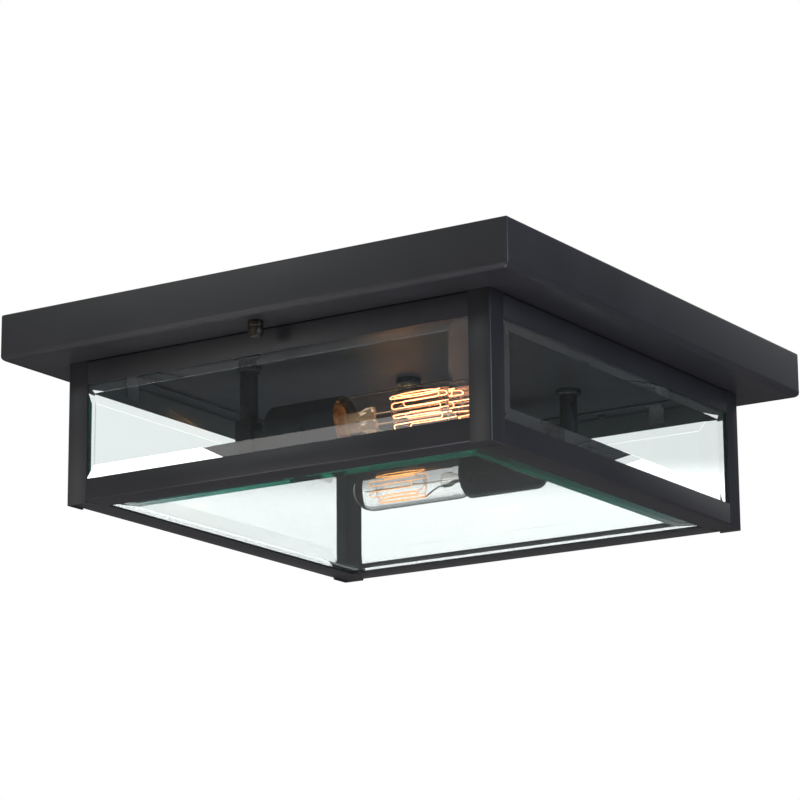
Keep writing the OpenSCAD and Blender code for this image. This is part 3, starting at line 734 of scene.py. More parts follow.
def loose_middles(node):
    """Middle (x, y) and radius of each separate round bar in a CAD node."""
    only(frame["nodes"][node])
    bpy.ops.object.duplicate()
    pick_all(bpy.context.object)
    bpy.ops.mesh.remove_doubles(threshold=1e-6)
    bpy.ops.mesh.separate(type="LOOSE")
    done()
    found = []
    for part in list(bpy.context.selected_objects):
        corners = [v.co for v in part.data.vertices]
        left, right = min(c.x for c in corners), max(c.x for c in corners)
        front, back = min(c.y for c in corners), max(c.y for c in corners)
        found.append(((left + right) / 2, (front + back) / 2, (right - left) / 2))
        bpy.data.objects.remove(part)
    return found


round_nodes = [*hole_nodes, "bar_nuts", "stem_nuts", "cage_nuts"]
spots_of = {node: loose_middles(node) for node in round_nodes}
drills = []
for node, play in hole_nodes.items():
    for x, y, radius in spots_of[node]:
        bpy.ops.mesh.primitive_cylinder_add(vertices=48, radius=radius + play * MM, depth=8 * MM,
                                            location=(x, y, low_pan.z))
        drills.append(bpy.context.object)
drill = join("drill", drills)
settle(drill)
modify(pan, "BOOLEAN", operation="DIFFERENCE", object=drill, solver="EXACT")
bpy.data.objects.remove(drill)
soften(pan, paint_edge, 1, 50)
smooth(pan, 40)
weld(pan)
pick_all(pan)                           # in so thin a shell the faces come out turned inward
bpy.ops.mesh.flip_normals()
done()
finish_piece(pan, "canopy_pan")
print("pan faces:", len(pan.data.polygons))

# %% [markdown]
# ## The cage's frame
#
# Posts and rails are folded angles of 1.5 mm sheet. Each is a box that keeps only its two outer
# faces. Their common edge is rounded by the fold, the skin gets its thickness inwards, and its cut
# edges are softened.

# %% Corner posts
sheet_cage = 1.5 * MM
fold = 1.4 * MM
fold_steps = 6
cut_edge = 0.16 * MM
to_right, to_front, to_top = Vector((1, 0, 0)), Vector((0, -1, 0)), Vector((0, 0, 1))


def quarter_turns(obj, stem):
    """A piece and its three copies round the cage."""
    return [obj] + [copy_of(obj, f"{stem}_{k + 1}", math.radians(90 * k)) for k in (1, 2, 3)]


post_names = ["post_front_right", "post_rear_right", "post_rear_left", "post_front_left"]
post_low, post_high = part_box(post_names[0])
post = fold_box("corner_post_1", post_low, post_high, (to_right, to_front), fold, fold_steps)
thicken(post, sheet_cage)
soften(post, cut_edge)
weld(post)
smooth(post)
for obj, node in zip(quarter_turns(post, "corner_post"), post_names):
    finish_piece(obj, node)


# %% [markdown]
# A rail's face stops at the posts, and its flange runs on behind them to a mitre. So the flange's
# ends are extruded, and the new corners are moved to the mitre line.


# %% Rails
rail_gap = 0.12 * MM
face_end = post_low.x - rail_gap


def rail(name, node, upper):
    """The front rail of one level: the upper one has its flange at the top, the lower one at the foot."""
    low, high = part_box(node)
    fold_z, flange_way = (high.z, to_top) if upper else (low.z, -to_top)
    start, stop = (-face_end, low.y, low.z), (face_end, high.y, high.z)
    skin = fold_box(name, start, stop, (to_front, flange_way), fold, fold_steps)
    mitre_in, mitre_out = -high.y, high.x
    for end in (-1, 1):
        pick(skin, "EDGE", lambda a, b: all(
            near(c.x, end * face_end) and near(c.z, fold_z, 1e-6) and c.y > low.y + fold - 1e-6
            for c in (a, b)))
        bpy.ops.mesh.extrude_edges_move(TRANSFORM_OT_translate={"value": (end * MM, 0, 0)})
        x_now = end * (face_end + MM)
        for y_now, y_new, x_new in ((low.y + fold, -mitre_out, mitre_out), (high.y, high.y, mitre_in)):
            pick(skin, "VERT", lambda c: near(c.x, x_now) and near(c.y, y_now) and near(c.z, fold_z))
            bpy.ops.transform.translate(value=(end * x_new - x_now, y_new - y_now, 0))
    thicken(skin, sheet_cage)
    soften(skin, cut_edge)
    smooth(skin)
    return skin


sides = ["front", "right", "rear", "left"]
for level, upper in (("bottom", False), ("top", True)):
    rails = quarter_turns(rail(f"{level}_rail_1", f"{level}_rail_front", upper), f"{level}_rail")
    for obj, side in zip(rails, sides):
        finish_piece(obj, f"{level}_rail_{side}")


# %% [markdown]
# ## Bevelled panes
#
# A bevelled pane is a flat plate whose border is ground down to a thin edge. It starts as a plate
# of the edge's thickness. Its outer face is extruded by what the bevel leaves standing and drawn in
# by the bevel's width.


# %% Panes
def bevelled_pane(name, width, height, thickness, bevel, edge, foot_bevel):
    """A pane lying flat, with its bevelled face down and its middle at the origin. Its foot is at +Y."""
    half = Vector((width / 2, height / 2, thickness / 2))
    plate = block(name, (-half.x, -half.y, half.z - edge), half)
    pick(plate, "FACE", lambda middle, normal: normal.z < -0.9)
    bpy.ops.mesh.extrude_region_move(TRANSFORM_OT_translate={"value": (0, 0, -(thickness - edge))})
    shrink = (height - bevel - foot_bevel) / height
    still = height / 2 - foot_bevel / (1 - shrink)
    narrow = (width - 2 * bevel) / width
    bpy.ops.transform.resize(value=(narrow, shrink, 1), center_override=(0, still, -half.z))
    done()
    soften(plate, 0.12 * MM, 2, 3)
    return plate


edge_left = 2.0 * MM
side_bevel = 19 * MM
foot_bevel = 23 * MM
for k, side in enumerate(sides):
    low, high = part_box(f"side_pane_{side}")
    size = high - low
    width, thickness = max(size.x, size.y), min(size.x, size.y)
    pane = bevelled_pane(f"bevelled_pane_{side}", width, size.z, thickness, side_bevel, edge_left, foot_bevel)
    stand(pane, (low + high) / 2, (math.radians(-90), 0, math.radians(90 * k)))
    finish_piece(pane, f"side_pane_{side}")

low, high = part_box("bottom_pane")
bottom_bevel = 25.4 * MM
size = high - low
pane = bevelled_pane("bevelled_pane_bottom", size.x, size.y, size.z, bottom_bevel, edge_left, bottom_bevel)
stand(pane, (low + high) / 2)
finish_piece(pane, "bottom_pane")

# %% [markdown]
# ## Stems, elbows and cups
#
# These are turned parts and a small square elbow. The cups are thin tubes with a rounded closed
# end.

# %% Cups
low_a, high_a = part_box("socket_cup_a")
lamp_y = (low_a.y + high_a.y) / 2
lamp_z = (low_a.z + high_a.z) / 2
mouth_x = high_a.x
along_x = (0, math.radians(90), 0)
cup_r = (high_a.z - low_a.z) / 2
cup_len = high_a.x - low_a.x
cup_wall = 1.0 * MM
cup_round = 5.0 * MM
cup_lip = 0.4 * MM
nipple_hole = 5.05 * MM


def along_cup(obj, u=0.0):
    """Turns a piece made along Z and puts its foot at u from lamp a's cup mouth."""
    return stand(obj, (mouth_x + u, lamp_y, lamp_z), along_x)


outline = [(nipple_hole, 0)]
outline += arc((cup_r - cup_round, cup_round), cup_round, -90, 0, 8)
outline += arc((cup_r - cup_lip, cup_len - cup_lip), cup_lip, 0, 90, 3)
outline += arc((cup_r - cup_wall + cup_lip, cup_len - cup_lip), cup_lip, 90, 180, 3)
outline += arc((cup_r - cup_round, cup_round), cup_round - cup_wall, 0, -90, 6)
outline += [(nipple_hole, cup_wall), (nipple_hole, 0)]
cup = lathe("cup", outline, 96)
stand(cup, (low_a.x, lamp_y, lamp_z), along_x)
smooth(cup)
pair(cup, "lamp_cup", "socket_cup", gloss_black, gloss_black)


# %% Stems, collars and elbows
def turned_bar(name, node, foot_edge, top_edge, bore):
    """A lacquered bar with a bore and chamfered ends, in the place of its CAD node."""
    low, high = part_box(node)
    radius = (high.x - low.x) / 2
    height = high.z - low.z
    outline = [(bore, 0), (radius - foot_edge, 0), (radius, foot_edge)]
    outline += [(radius, height - top_edge), (radius - top_edge, height), (bore, height), (bore, 0)]
    obj = lathe(name, outline, 64)
    stand(obj, ((low.x + high.x) / 2, (low.y + high.y) / 2, low.z))
    soften(obj, 0.15 * MM, 2, 30)
    smooth(obj)
    finish_piece(obj, node, gloss_black)


stem_bore = 5.15 * MM
slight_edge = 0.3 * MM
for letter in "ab":
    turned_bar(f"down_tube_{letter}", f"stem_{letter}", slight_edge, slight_edge, stem_bore)
    turned_bar(f"neck_collar_{letter}", f"collar_{letter}", 1.0 * MM, slight_edge, stem_bore)
turned_bar("round_nut", "centre_nut", 0.8 * MM, slight_edge, stem_bore)

low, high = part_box("elbow_a")
half_square = (high.y - low.y) / 2
stem_x = low.x + half_square
elbow = block("elbow_block", low, (low.x + 2 * half_square, high.y, high.z))
soften(elbow, 1.0 * MM, 3, 40)
spigot_len = high.x - stem_x
spigot_r, spigot_bore, spigot_edge = 5 * MM, 3.3 * MM, 0.4 * MM
outline = [(spigot_bore, 0), (spigot_r, 0), (spigot_r, spigot_len - spigot_edge)]
outline += [(spigot_r - spigot_edge, spigot_len), (spigot_bore, spigot_len), (spigot_bore, 0)]
spigot = stand(lathe("spigot", outline, 48), (stem_x, lamp_y, lamp_z), along_x)
elbow = join("elbow", [elbow, spigot])
smooth(elbow)
pair(elbow, "square_elbow", "elbow", gloss_black, gloss_black)

# %% [markdown]
# ## Fasteners
#
# Nuts, studs and nipples repeat all over the lantern, so each kind is one helper, and its copies go
# where the CAD model has one. A hexagon nut is a six-sided bar whose corners a turned disc cuts
# off. A thread is a small triangle that the Screw modifier winds up a bar: that is a true helix,
# where rings stacked on each other look wrong up close.


# %% Helpers: discs, carving, nuts and threads
def disc(name, radius, low, high, sides=48, place=(0, 0)):
    """An upright cylinder between two heights."""
    bpy.ops.object.select_all(action="DESELECT")
    bpy.ops.mesh.primitive_cylinder_add(
        vertices=sides, radius=radius, depth=high - low,
        location=(*place, (low + high) / 2), rotation=(0, 0, math.radians(90)))
    obj = bpy.context.object
    obj.name = obj.data.name = name
    settle(obj)
    return obj


def carve(obj, cutter, operation="DIFFERENCE"):
    """Cuts a closed shape by another, or keeps what both share, and removes the cutter."""
    modify(obj, "BOOLEAN", operation=operation, object=cutter, solver="EXACT")
    bpy.data.objects.remove(cutter)
    weld(obj)


def hex_nut(name, flats, height, bore, flange=0.0):
    """A hexagon nut that stands on z = 0, over a round flange if a radius is given."""
    corner = flats / math.sqrt(3)
    rim = 0.48 * flats
    drop = 0.4 * (corner - rim)
    nut = disc(name, corner, 0, height, 6)
    turned = [(0, 0), (rim, 0), (corner, drop), (1.05 * corner, drop), (1.05 * corner, height - drop)]
    turned += [(corner, height - drop), (rim, height), (0, height)]
    carve(nut, lathe("turned", turned, 48), "INTERSECT")
    if flange:
        skirt = [(0, -MM), (flange - 0.3 * MM, -MM), (flange, -0.7 * MM), (flange, -0.4 * MM)]
        skirt += [(0.9 * corner, 0.3 * MM), (0, 0.3 * MM)]
        carve(nut, lathe("skirt", skirt, 48), "UNION")
    carve(nut, disc("bore", bore, -2 * MM, height + MM))
    soften(nut, 0.1 * MM, 1, 30)
    weld(nut)
    smooth(nut, 32)
    return nut


def ridge(name, profile, pitch, turns, steps=24):
    """A closed profile wound up a bar as a helix, with both ends shut."""
    obj = chain(name, profile + [profile[0]])
    bpy.ops.mesh.remove_doubles(threshold=1e-7)
    done()
    modify(obj, "SCREW", angle=2 * math.pi, screw_offset=pitch, iterations=turns,
           steps=steps, render_steps=steps)
    pick_all(obj)
    bpy.ops.mesh.fill_holes(sides=len(profile) + 1)
    bpy.ops.mesh.select_all(action="SELECT")
    bpy.ops.mesh.normals_make_consistent(inside=False)
    done()
    return obj


def threaded_bar(name, radius, length, pitch, bore=0.0):
    """A bar on z = 0 with a thread from end to end, hollow if a bore is given."""
    depth = 0.55 * pitch
    root = radius - depth
    tip = 0.4 * MM
    outline = [(bore, 0), (root - tip, 0), (root, tip)]
    outline += [(root, length - tip), (root - tip, length), (bore, length)]
    core = lathe(name, outline + [(bore, 0)] if bore else outline, 32)
    smooth(core, 35)
    turns = int((length - 2 * tip) / pitch) - 1
    start = (length - (turns + 1) * pitch) / 2
    foot = root - 0.1 * depth
    profile = [(foot, start), (radius, start + 0.5 * pitch), (foot, start + 0.98 * pitch)]
    return join(name, [core, ridge("ridge", profile, pitch, turns)])


def one_each(first, node, name, height):
    """Puts a copy of a fastener at each one of a CAD node, and joins them into its piece."""
    spots = spots_of[node]
    parts = [first] + [copy_of(first, f"{name}_{k}") for k in range(1, len(spots))]
    for part, (x, y, _) in zip(parts, spots):
        stand(part, (x, y, height))
    finish_piece(join(name, parts), node)
    print(name, "holds", len(spots))


# %% Studs, nipples and their nuts
fine_pitch = 0.8 * MM
nipple_pitch = 1.25 * MM
stud_r = 2.1 * MM
nipple_r = 5.1 * MM
nipple_bore = 3.5 * MM
thread_play = 0.05 * MM


def bars_for(node, name, radius, pitch, bore=0.0):
    """The threaded bars of a CAD node."""
    low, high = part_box(node)
    one_each(threaded_bar("first_bar", radius, high.z - low.z, pitch, bore), node, name, low.z)


def nuts_for(node, name, flats, bore, flange=0.0):
    """The hexagon nuts of a CAD node, over round flanges if a radius is given."""
    low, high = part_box(node)
    base = low.z + (MM if flange else 0)
    one_each(hex_nut("first_nut", flats, high.z - base, bore, flange), node, name, base)


bars_for("mounting_studs", "long_studs", stud_r, fine_pitch)
bars_for("cage_studs", "cage_frame_studs", stud_r, fine_pitch)
bars_for("centre_nipple", "hollow_centre_nipple", nipple_r, nipple_pitch, nipple_bore)
bars_for("stem_nipples", "hollow_stem_nipples", nipple_r, nipple_pitch, nipple_bore)
stud_flats = 2.05 * 2 * stud_r
nipple_flats = 1.45 * 2 * nipple_r
nuts_for("bar_nuts", "stud_lock_nuts", stud_flats, stud_r + thread_play)
nuts_for("stem_nuts", "stem_lock_nuts", nipple_flats, nipple_r + thread_play)
nuts_for("cage_nuts", "cage_flange_nuts", stud_flats, stud_r + thread_play, 6.2 * MM)

# %% [markdown]
# The cap nuts under the pan are small turned caps. Fingers turn them, so their foot is filed into
# flats, which a cone with eight sides cuts from the round body.

# %% Cap nuts
low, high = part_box("cap_nut_front")
cap_r = (high.x - low.x) / 2
cap_h = high.z - low.z
cap_chamfer = 1.4 * MM
cap_floor = 2.4 * MM
cap_bore = stud_r + thread_play
outline = [(0, 0), (cap_r - cap_chamfer, 0), (cap_r, cap_chamfer), (cap_r, 0.55 * cap_h)]
outline += [(cap_r - 0.3 * MM, 0.58 * cap_h), (cap_r - 0.3 * MM, 0.63 * cap_h), (cap_r, 0.66 * cap_h)]
outline += [(cap_r, cap_h - 0.4 * MM), (cap_r - 0.4 * MM, cap_h), (cap_bore, cap_h), (cap_bore, cap_floor)]
outline += [(0, cap_floor)]
cap = lathe("cap_nut_1", outline, 64)
facet_top = 6 * MM
bpy.ops.object.select_all(action="DESELECT")
bpy.ops.mesh.primitive_cone_add(vertices=8, radius1=cap_r - 1.1 * MM, radius2=cap_r + 1.3 * MM,
                                depth=facet_top, location=(0, 0, facet_top / 2))
cone = bpy.context.object
settle(cone)
upper = disc("upper", 2 * cap_r, facet_top - 0.5 * MM, cap_h + MM, 24)
carve(cone, upper, "UNION")
carve(cap, cone, "INTERSECT")
soften(cap, 0.12 * MM, 2, 25)
smooth(cap, 30)
cap_2 = copy_of(cap, "cap_nut_2")
for obj, node in ((cap, "cap_nut_front"), (cap_2, "cap_nut_rear")):
    low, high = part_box(node)
    stand(obj, (0, (low.y + high.y) / 2, low.z))
    finish_piece(obj, node)

# %% [markdown]
# ## The bar above the pan
#
# A flat steel strap crosses the pan and is screwed to the ceiling box through its two slots. A slot
# is a round drill whose one half is pulled along the strap.

# %% Mounting bar
low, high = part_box("mounting_bar")
strap = block("ceiling_strap", low, high)
slot_r = 2.4 * MM
slot_run = 26 * MM - 2 * slot_r
slot_middle = 40 * MM
bond_hole = 1.8 * MM
bond_y = 16 * MM
cutters = []
for end in (-1, 1):
    start_y = end * slot_middle - slot_run / 2
    cutter = disc("slot", slot_r, low.z - MM, high.z + MM, 32, (0, start_y))
    pick(cutter, "VERT", lambda corner: corner.y > start_y)
    bpy.ops.transform.translate(value=(0, slot_run, 0))
    done()
    cutters.append(cutter)
strap_holes = [(0, 0, nipple_r + thread_play), (0, bond_y, bond_hole)]
strap_holes += [(x, y, stud_r + thread_play) for x, y, _ in spots_of["mounting_studs"]]
for x, y, radius in strap_holes:
    cutters.append(disc("hole", radius, low.z - MM, high.z + MM, 32, (x, y)))
carve(strap, join("cutters", cutters))
soften(strap, 0.3 * MM, 2, 50)
smooth(strap, 40)
finish_piece(strap, "mounting_bar")
print("strap holes and slots:", len(cutters))

# %% Glass clips
clip_low = Vector((-6, -162.7, -46.4)) * MM     # the box of a clip, as if at the middle of the front side
clip_high = Vector((6, -155.7, -34.4)) * MM
clip_apart = 210 * MM
clip = fold_box("clip", clip_low, clip_high, (to_front, to_top), 0.9 * MM, 5)
thicken(clip, 0.8 * MM)
soften(clip, 0.1 * MM, 1, 50)
smooth(clip)
clips = []
for x in (-clip_apart / 2, clip_apart / 2):
    near_clip = stand(copy_of(clip, "side_clip"), (x, 0, 0))
    clips += [copy_of(near_clip, f"side_clip_{k}", math.radians(90 * k)) for k in range(4)]
    bpy.data.objects.remove(near_clip)
bpy.data.objects.remove(clip)
clips = join("pane_clips", clips)
finish_piece(clips, "glass_clips", polished)
print("clip faces:", len(clips.data.polygons))

# %% [markdown]
# ## Inside the cups
#
# A porcelain block sits at the bottom of each cup and carries the threaded shell. A paper sleeve
# keeps the shell off the cup, and a sprung tab meets the lamp's contact. The rolled thread is a
# soft wave, so its profile is a curve.


# %% Socket insides
base_u = -54.3 * MM
base_h = 11.4 * MM
base_r = 14.4 * MM
base_gap = 1.2 * MM
boss_out, boss_in = 6.5 * MM, 4.0 * MM
lead_apart = 2.4 * MM
outline = [(0, 0), (boss_in, 0), (boss_in, -base_gap), (boss_out, -base_gap), (boss_out, 0)]
outline += arc((base_r - MM, MM), MM, -90, 0, 5) + arc((base_r - MM, base_h - MM), MM, 0, 90, 5)
outline += [(0, base_h)]
socket_base = lathe("base", outline, 64)
for side in (-1, 1):
    carve(socket_base, disc("lead_hole", 1.0 * MM, -2 * MM, 4 * MM, 24, (0, side * lead_apart / 2)))
smooth(socket_base)
pair(along_cup(socket_base, base_u), "porcelain_base", "socket_base")

shell_end = base_u + base_h
shell_rim = -14 * MM
shell_in, shell_out = 13.2 * MM, 13.9 * MM
roll_pitch = 3.6 * MM
roll_depth = 0.35 * MM


def rolled(radius, length, steps_a_turn=10):
    """Points of a wall whose radius swings softly along its length."""
    count = round(length / roll_pitch * steps_a_turn)
    places = [length * i / count for i in range(count + 1)]
    return [(radius + roll_depth / 2 * math.sin(2 * math.pi * u / roll_pitch), u) for u in places]


wall_in = rolled(shell_in + roll_depth / 2, shell_rim - shell_end)
wall_out = rolled(shell_out - roll_depth / 2, shell_rim - shell_end)
shell = lathe("shell", wall_in + wall_out[::-1] + [wall_in[0]], 72)
smooth(shell, 50)
pair(along_cup(shell, shell_end), "threaded_shell", "screw_shell")

sleeve_in, sleeve_out = 13.95 * MM, 14.55 * MM
sleeve_len = -8 * MM - shell_end
outline = [(sleeve_in, 0), (sleeve_out, 0), (sleeve_out, sleeve_len - 0.2 * MM)]
outline += [(sleeve_out - 0.2 * MM, sleeve_len), (sleeve_in + 0.1 * MM, sleeve_len)]
outline += [(sleeve_in, sleeve_len - 0.1 * MM), (sleeve_in, 0)]
sleeve = lathe("sleeve", outline, 72)
smooth(sleeve)
pair(along_cup(sleeve, shell_end), "paper_sleeve", "socket_sleeve")

# %% Sprung contacts
tab_t = 0.5 * MM
tab = block("tab", (-3 * MM, -7 * MM, 0), (3 * MM, 7 * MM, tab_t))
soften(tab, 0.15 * MM, 2, 50)
rivet_h, rivet_r, rivet_round = 1.1 * MM, 2.4 * MM, 0.6 * MM
outline = [(0, 0), (rivet_r, 0), (rivet_r, tab_t)]
outline += arc((rivet_r - rivet_round, rivet_h - rivet_round), rivet_round, 0, 90, 4) + [(0, rivet_h)]
contact = join("contact", [tab, lathe("rivet", outline, 32)])
smooth(contact)
along_cup(contact, shell_end)
contacts = join("sprung_contacts", [contact, copy_of(contact, "contact_b", math.pi)])
finish_piece(contacts, "centre_contacts")

# %% [markdown]
# ## Wires
#
# The leads climb from each socket through elbow and stem and cross the pan to two twist-on caps. A
# Bezier curve with a few pulls gives each its easy sweep.


# %% Leads
def blend_points(points, t):
    """A point on the smooth curve that runs from the first point to the last, pulled by those between."""
    points = [Vector(p) for p in points]
    while len(points) > 1:
        points = [a.lerp(b, t) for a, b in zip(points, points[1:])]
    return points[0]


def sweep_through(points, steps):
    """Points along that curve."""
    return [blend_points(points, i / steps) for i in range(steps + 1)]


lead_r = 0.9 * MM
lead_start = base_u + mouth_x + 3 * MM
bend = 9 * MM
stem_low, stem_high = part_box("stem_a")
nipple_x = stem_low.x + (stem_high.x - stem_low.x) / 2
nipple_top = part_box("stem_nipples")[1].z + 0.12 * MM
joint_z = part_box("wire_connectors")[0].z + 5.4 * MM
lead_tuck = 9.7 * MM
route_short = [(-68, -10), (-64, 18.6), (-44, 18.6)]
route_long = [(20, -110), (110, -34), (64, -21.4), (44, -21.4)]


def lead(name, side, route, turn):
    """One lead of lamp a, on one side of its axis, turned half round for the other lamp."""
    y = lamp_y + side * lead_apart / 2
    elbow_turn = [(nipple_x + bend, y, lamp_z), (nipple_x, y, lamp_z), (nipple_x, y, lamp_z + bend)]
    crossing = [(nipple_x, y, nipple_top), (nipple_x, y, nipple_top + 7 * MM)]
    crossing += [(x * MM, y_mm * MM, joint_z) for x, y_mm in route]
    end = Vector(crossing[-1]) + Vector((side * lead_tuck, 0, 0))
    points = [Vector((lead_start, y, lamp_z))]
    points += sweep_through(elbow_turn, 8) + sweep_through(crossing, 40) + [end]
    return stand(wire(name, points, lead_r), (0, 0, 0), (0, 0, turn))


for colour, short_turn, long_turn in (("black", 0, math.pi), ("white", math.pi, 0)):
    leads = [lead("short_lead", 1, route_short, short_turn), lead("long_lead", -1, route_long, long_turn)]
    finish_piece(join(f"{colour}_leads", leads), f"lead_wires_{colour}")

# %% Twist-on caps
connector_r = 5.4 * MM
connector_tip = 0.6 * connector_r
connector_len = 24 * MM
connector_bore = 3.6 * MM
connector_depth = 10 * MM
skirt_len = 4 * MM
skirt_r = connector_r - 0.08 * skirt_len
outline = [(connector_bore, 0), (connector_r - 0.3 * MM, 0), (connector_r, 0.3 * MM), (skirt_r, skirt_len)]
outline += [(skirt_r - 0.3 * MM, skirt_len + 0.4 * MM), (connector_tip + 0.3 * MM, connector_len - 1.5 * MM)]
outline += [(connector_tip - 0.4 * MM, connector_len - 0.3 * MM), (connector_tip - 1.2 * MM, connector_len)]
outline += [(0, connector_len), (0, connector_depth), (connector_bore, connector_depth), (connector_bore, 0)]
cap_sides = 48
connector = lathe("connector", outline, cap_sides)


def in_groove(corner):
    """Two of every four strips of corners on the cap's ribbed part."""
    strip = round(math.atan2(corner.y, corner.x) / (2 * math.pi) * cap_sides)
    ribbed = skirt_len + 0.2 * MM < corner.z < connector_len - 0.5 * MM
    return ribbed and strip % 4 in (0, 1) and math.hypot(corner.x, corner.y) > 1.5 * MM


pick(connector, "VERT", in_groove)
bpy.ops.transform.resize(value=(0.9, 0.9, 1), center_override=(0, 0, 0))
done()
smooth(connector, 30)
stand(connector, (-44 * MM, 20 * MM, joint_z), along_x)
connectors = join("twist_on_caps", [connector, copy_of(connector, "connector_2", math.pi)])
finish_piece(connectors, "wire_connectors")

# %% Bond wire
ring_t = 0.8 * MM
tag_r = 4 * MM
stud_x = 30 * MM
stud_spot = Vector((stud_x, 10 * MM, low_pan.z + sheet_pan))
screw_spot = Vector((0, bond_y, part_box("mounting_bar")[0].z - ring_t))


def ring_terminal(name, place, turn, lift):
    """A stamped ring with a tongue, and a crimped barrel whose wire runs at the height `lift`."""
    ring = disc(name, tag_r, 0, ring_t)
    carve(ring, block("tongue", (0, -1.5 * MM, 0.0), (7 * MM, 1.5 * MM, ring_t)), "UNION")
    carve(ring, disc("hole", bond_hole, -MM, 2 * MM))
    soften(ring, 0.12 * MM, 1, 40)
    crimp = [(lead_r, 0), (1.45 * MM, 0), (1.45 * MM, 4.5 * MM), (lead_r, 4.5 * MM), (lead_r, 0)]
    barrel = stand(lathe("barrel", crimp, 24), (4.6 * MM, 0, 0), along_x)
    stand(barrel, (0, 0, lift))
    tag = join(name, [ring, barrel])
    smooth(tag)
    return stand(tag, place, (0, 0, turn))


over_ring = ring_t + lead_r
tags = [ring_terminal("tag_pan", stud_spot, math.radians(90), over_ring)]
tags += [ring_terminal("tag_strap", screw_spot, 0, -lead_r)]
low_z = stud_spot.z + over_ring
high_z = screw_spot.z - lead_r
bond_path = [(stud_x, bond_y, low_z), (stud_x, 48 * MM, low_z), (46 * MM, 42 * MM, -12 * MM)]
bond_path += [(stud_x, bond_y, high_z), (6 * MM, bond_y, high_z)]
bond = wire("bond_lead", sweep_through(bond_path, 32), lead_r)
finish_piece(bond, "ground_wire")
terminals = join("ring_terminals", tags)
finish_piece(terminals, "ground_wire", zinc, "zinc_steel")

# %% Bond screw and stud
head_r, head_h, shank_r = 3.5 * MM, 2.2 * MM, 1.75 * MM
shank_pitch = 0.7 * MM
cross_len, cross_wide, cross_deep = 4.4 * MM, 0.8 * MM, 1.1 * MM
outline = [(0, 0), (2.4 * MM, 0), (head_r - 0.2 * MM, 0.7 * MM), (head_r, 1.2 * MM)]
outline += [(head_r, head_h), (0, head_h)]
screw = lathe("screw_head", outline, 40)
for turn in (0, 90):
    far_corner = (cross_len / 2, cross_wide / 2, cross_deep)
    groove = block("groove", (-cross_len / 2, -cross_wide / 2, -MM), far_corner)
    carve(screw, stand(groove, (0, 0, 0), (0, 0, math.radians(turn))))
smooth(screw)
shank = stand(threaded_bar("shank", shank_r, ring_t + 1.8 * MM, shank_pitch), (0, 0, head_h))
bond_screw = stand(join("bond_screw", [screw, shank]), screw_spot - Vector((0, 0, head_h)))
pan_stud = stand(threaded_bar("pan_stud", shank_r, 8 * MM, shank_pitch), stud_spot)
pan_nut = hex_nut("pan_nut", 7 * MM, 2.4 * MM, shank_r + thread_play)
stand(pan_nut, stud_spot + Vector((0, 0, ring_t)))
finish_piece(join("bond_screws", [bond_screw, pan_stud, pan_nut]), "ground_screws")

# %% [markdown]
# ## The lamps
#
# Each lamp is a blown tube with a domed end, a metal cap, a pinched glass foot, and one long wire
# bent into hairpin loops that stand round a rod. The tube has a real wall, because the eye reads
# glass by its dark rim.

# %% Lamp glass
glass_low, glass_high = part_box("lamp_glass_a")
reach = glass_high.x - mouth_x
tube_r = (glass_high.z - glass_low.z) / 2
wall = 0.45 * MM
neck_r = 11.7 * MM
neck_u = -15 * MM


def tube_outline(inset):
    """Glass profile from the neck to the tip, as (radius, distance from the cup's mouth)."""
    r, neck = tube_r - inset, neck_r - inset
    points = [(neck, neck_u), (neck, 1.0 * MM), (neck + 0.5 * MM, 2.6 * MM)]
    points += [(r - 1.0 * MM, 6.0 * MM), (r - 0.3 * MM, 7.8 * MM), (r, 10 * MM)]
    return points + arc((0, reach - tube_r), r, 0, 90, 20)


outline = tube_outline(0) + tube_outline(wall)[::-1] + [(neck_r, neck_u)]
bulb = along_cup(lathe("bulb", outline, 96))
smooth(bulb, 50)
pair(bulb, "lamp_tube", "lamp_glass", amber_glass)

# %% Glowing loops
low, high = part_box("filament_a")
legs = 16
wire_r = 0.29 * MM
ring_r = 10 * MM
loop_near = low.x - mouth_x
loop_far = high.x - mouth_x
leg_turn = math.radians(350) / (legs - 1)
bend_r = ring_r * math.sin(leg_turn / 2)
quarters = (0.25, 0.5, 0.75)
bend_steps = 12


def at_lamp(across, side, u):
    """A point given across (down), sideways and along lamp a's axis."""
    return Vector((mouth_x + u, lamp_y + side, lamp_z - across))


def on_ring(turn, u, radius=ring_r):
    """A point on a ring round the axis, at an angle from straight down."""
    return at_lamp(radius * math.cos(turn), radius * math.sin(turn), u)


def slip(leg):
    """How far a bend has slipped back from its place: hand-wound loops are never quite alike."""
    return 2.6 * MM * (1 + math.sin(2.4 * leg + 0.7))


def bow(leg):
    """How far a leg bows out at its middle, or in where it is negative."""
    return 1.0 * MM * math.sin(3.7 * leg)


path = [on_ring(0, loop_near)]
for leg in range(legs - 1):
    outward = leg % 2 == 0
    for part in quarters:
        u = loop_near + (loop_far - loop_near) * (part if outward else 1 - part)
        path.append(on_ring(leg_turn * leg, u, ring_r + bow(leg) * math.sin(math.pi * part)))
    for step in range(bend_steps + 1):
        a = math.pi * step / bend_steps
        turn = leg_turn * (leg + (1 - math.cos(a)) / 2)
        rise = bend_r * (1 - math.sin(a)) + slip(leg)
        path.append(on_ring(turn, loop_far - wire_r - rise if outward else loop_near + wire_r + rise))
path += [on_ring(leg_turn * (legs - 1), loop_near + part * (loop_far - loop_near)) for part in (0.5, 0)]
pair(wire("loops", path, wire_r), "glowing_loops", "filament", glow_bright, glow_pale)
print("loop wire is", round(sum((b - a).length for a, b in zip(path, path[1:])) / MM), "mm long")

# %% [markdown]
# The foot is a glass tube, flared where it is melted to the lamp's neck and pinched flat while it
# is hot, which grips the wires. On its rod stand hooks that hold the loops. The pinch is made by
# squashing the tube's last rings.

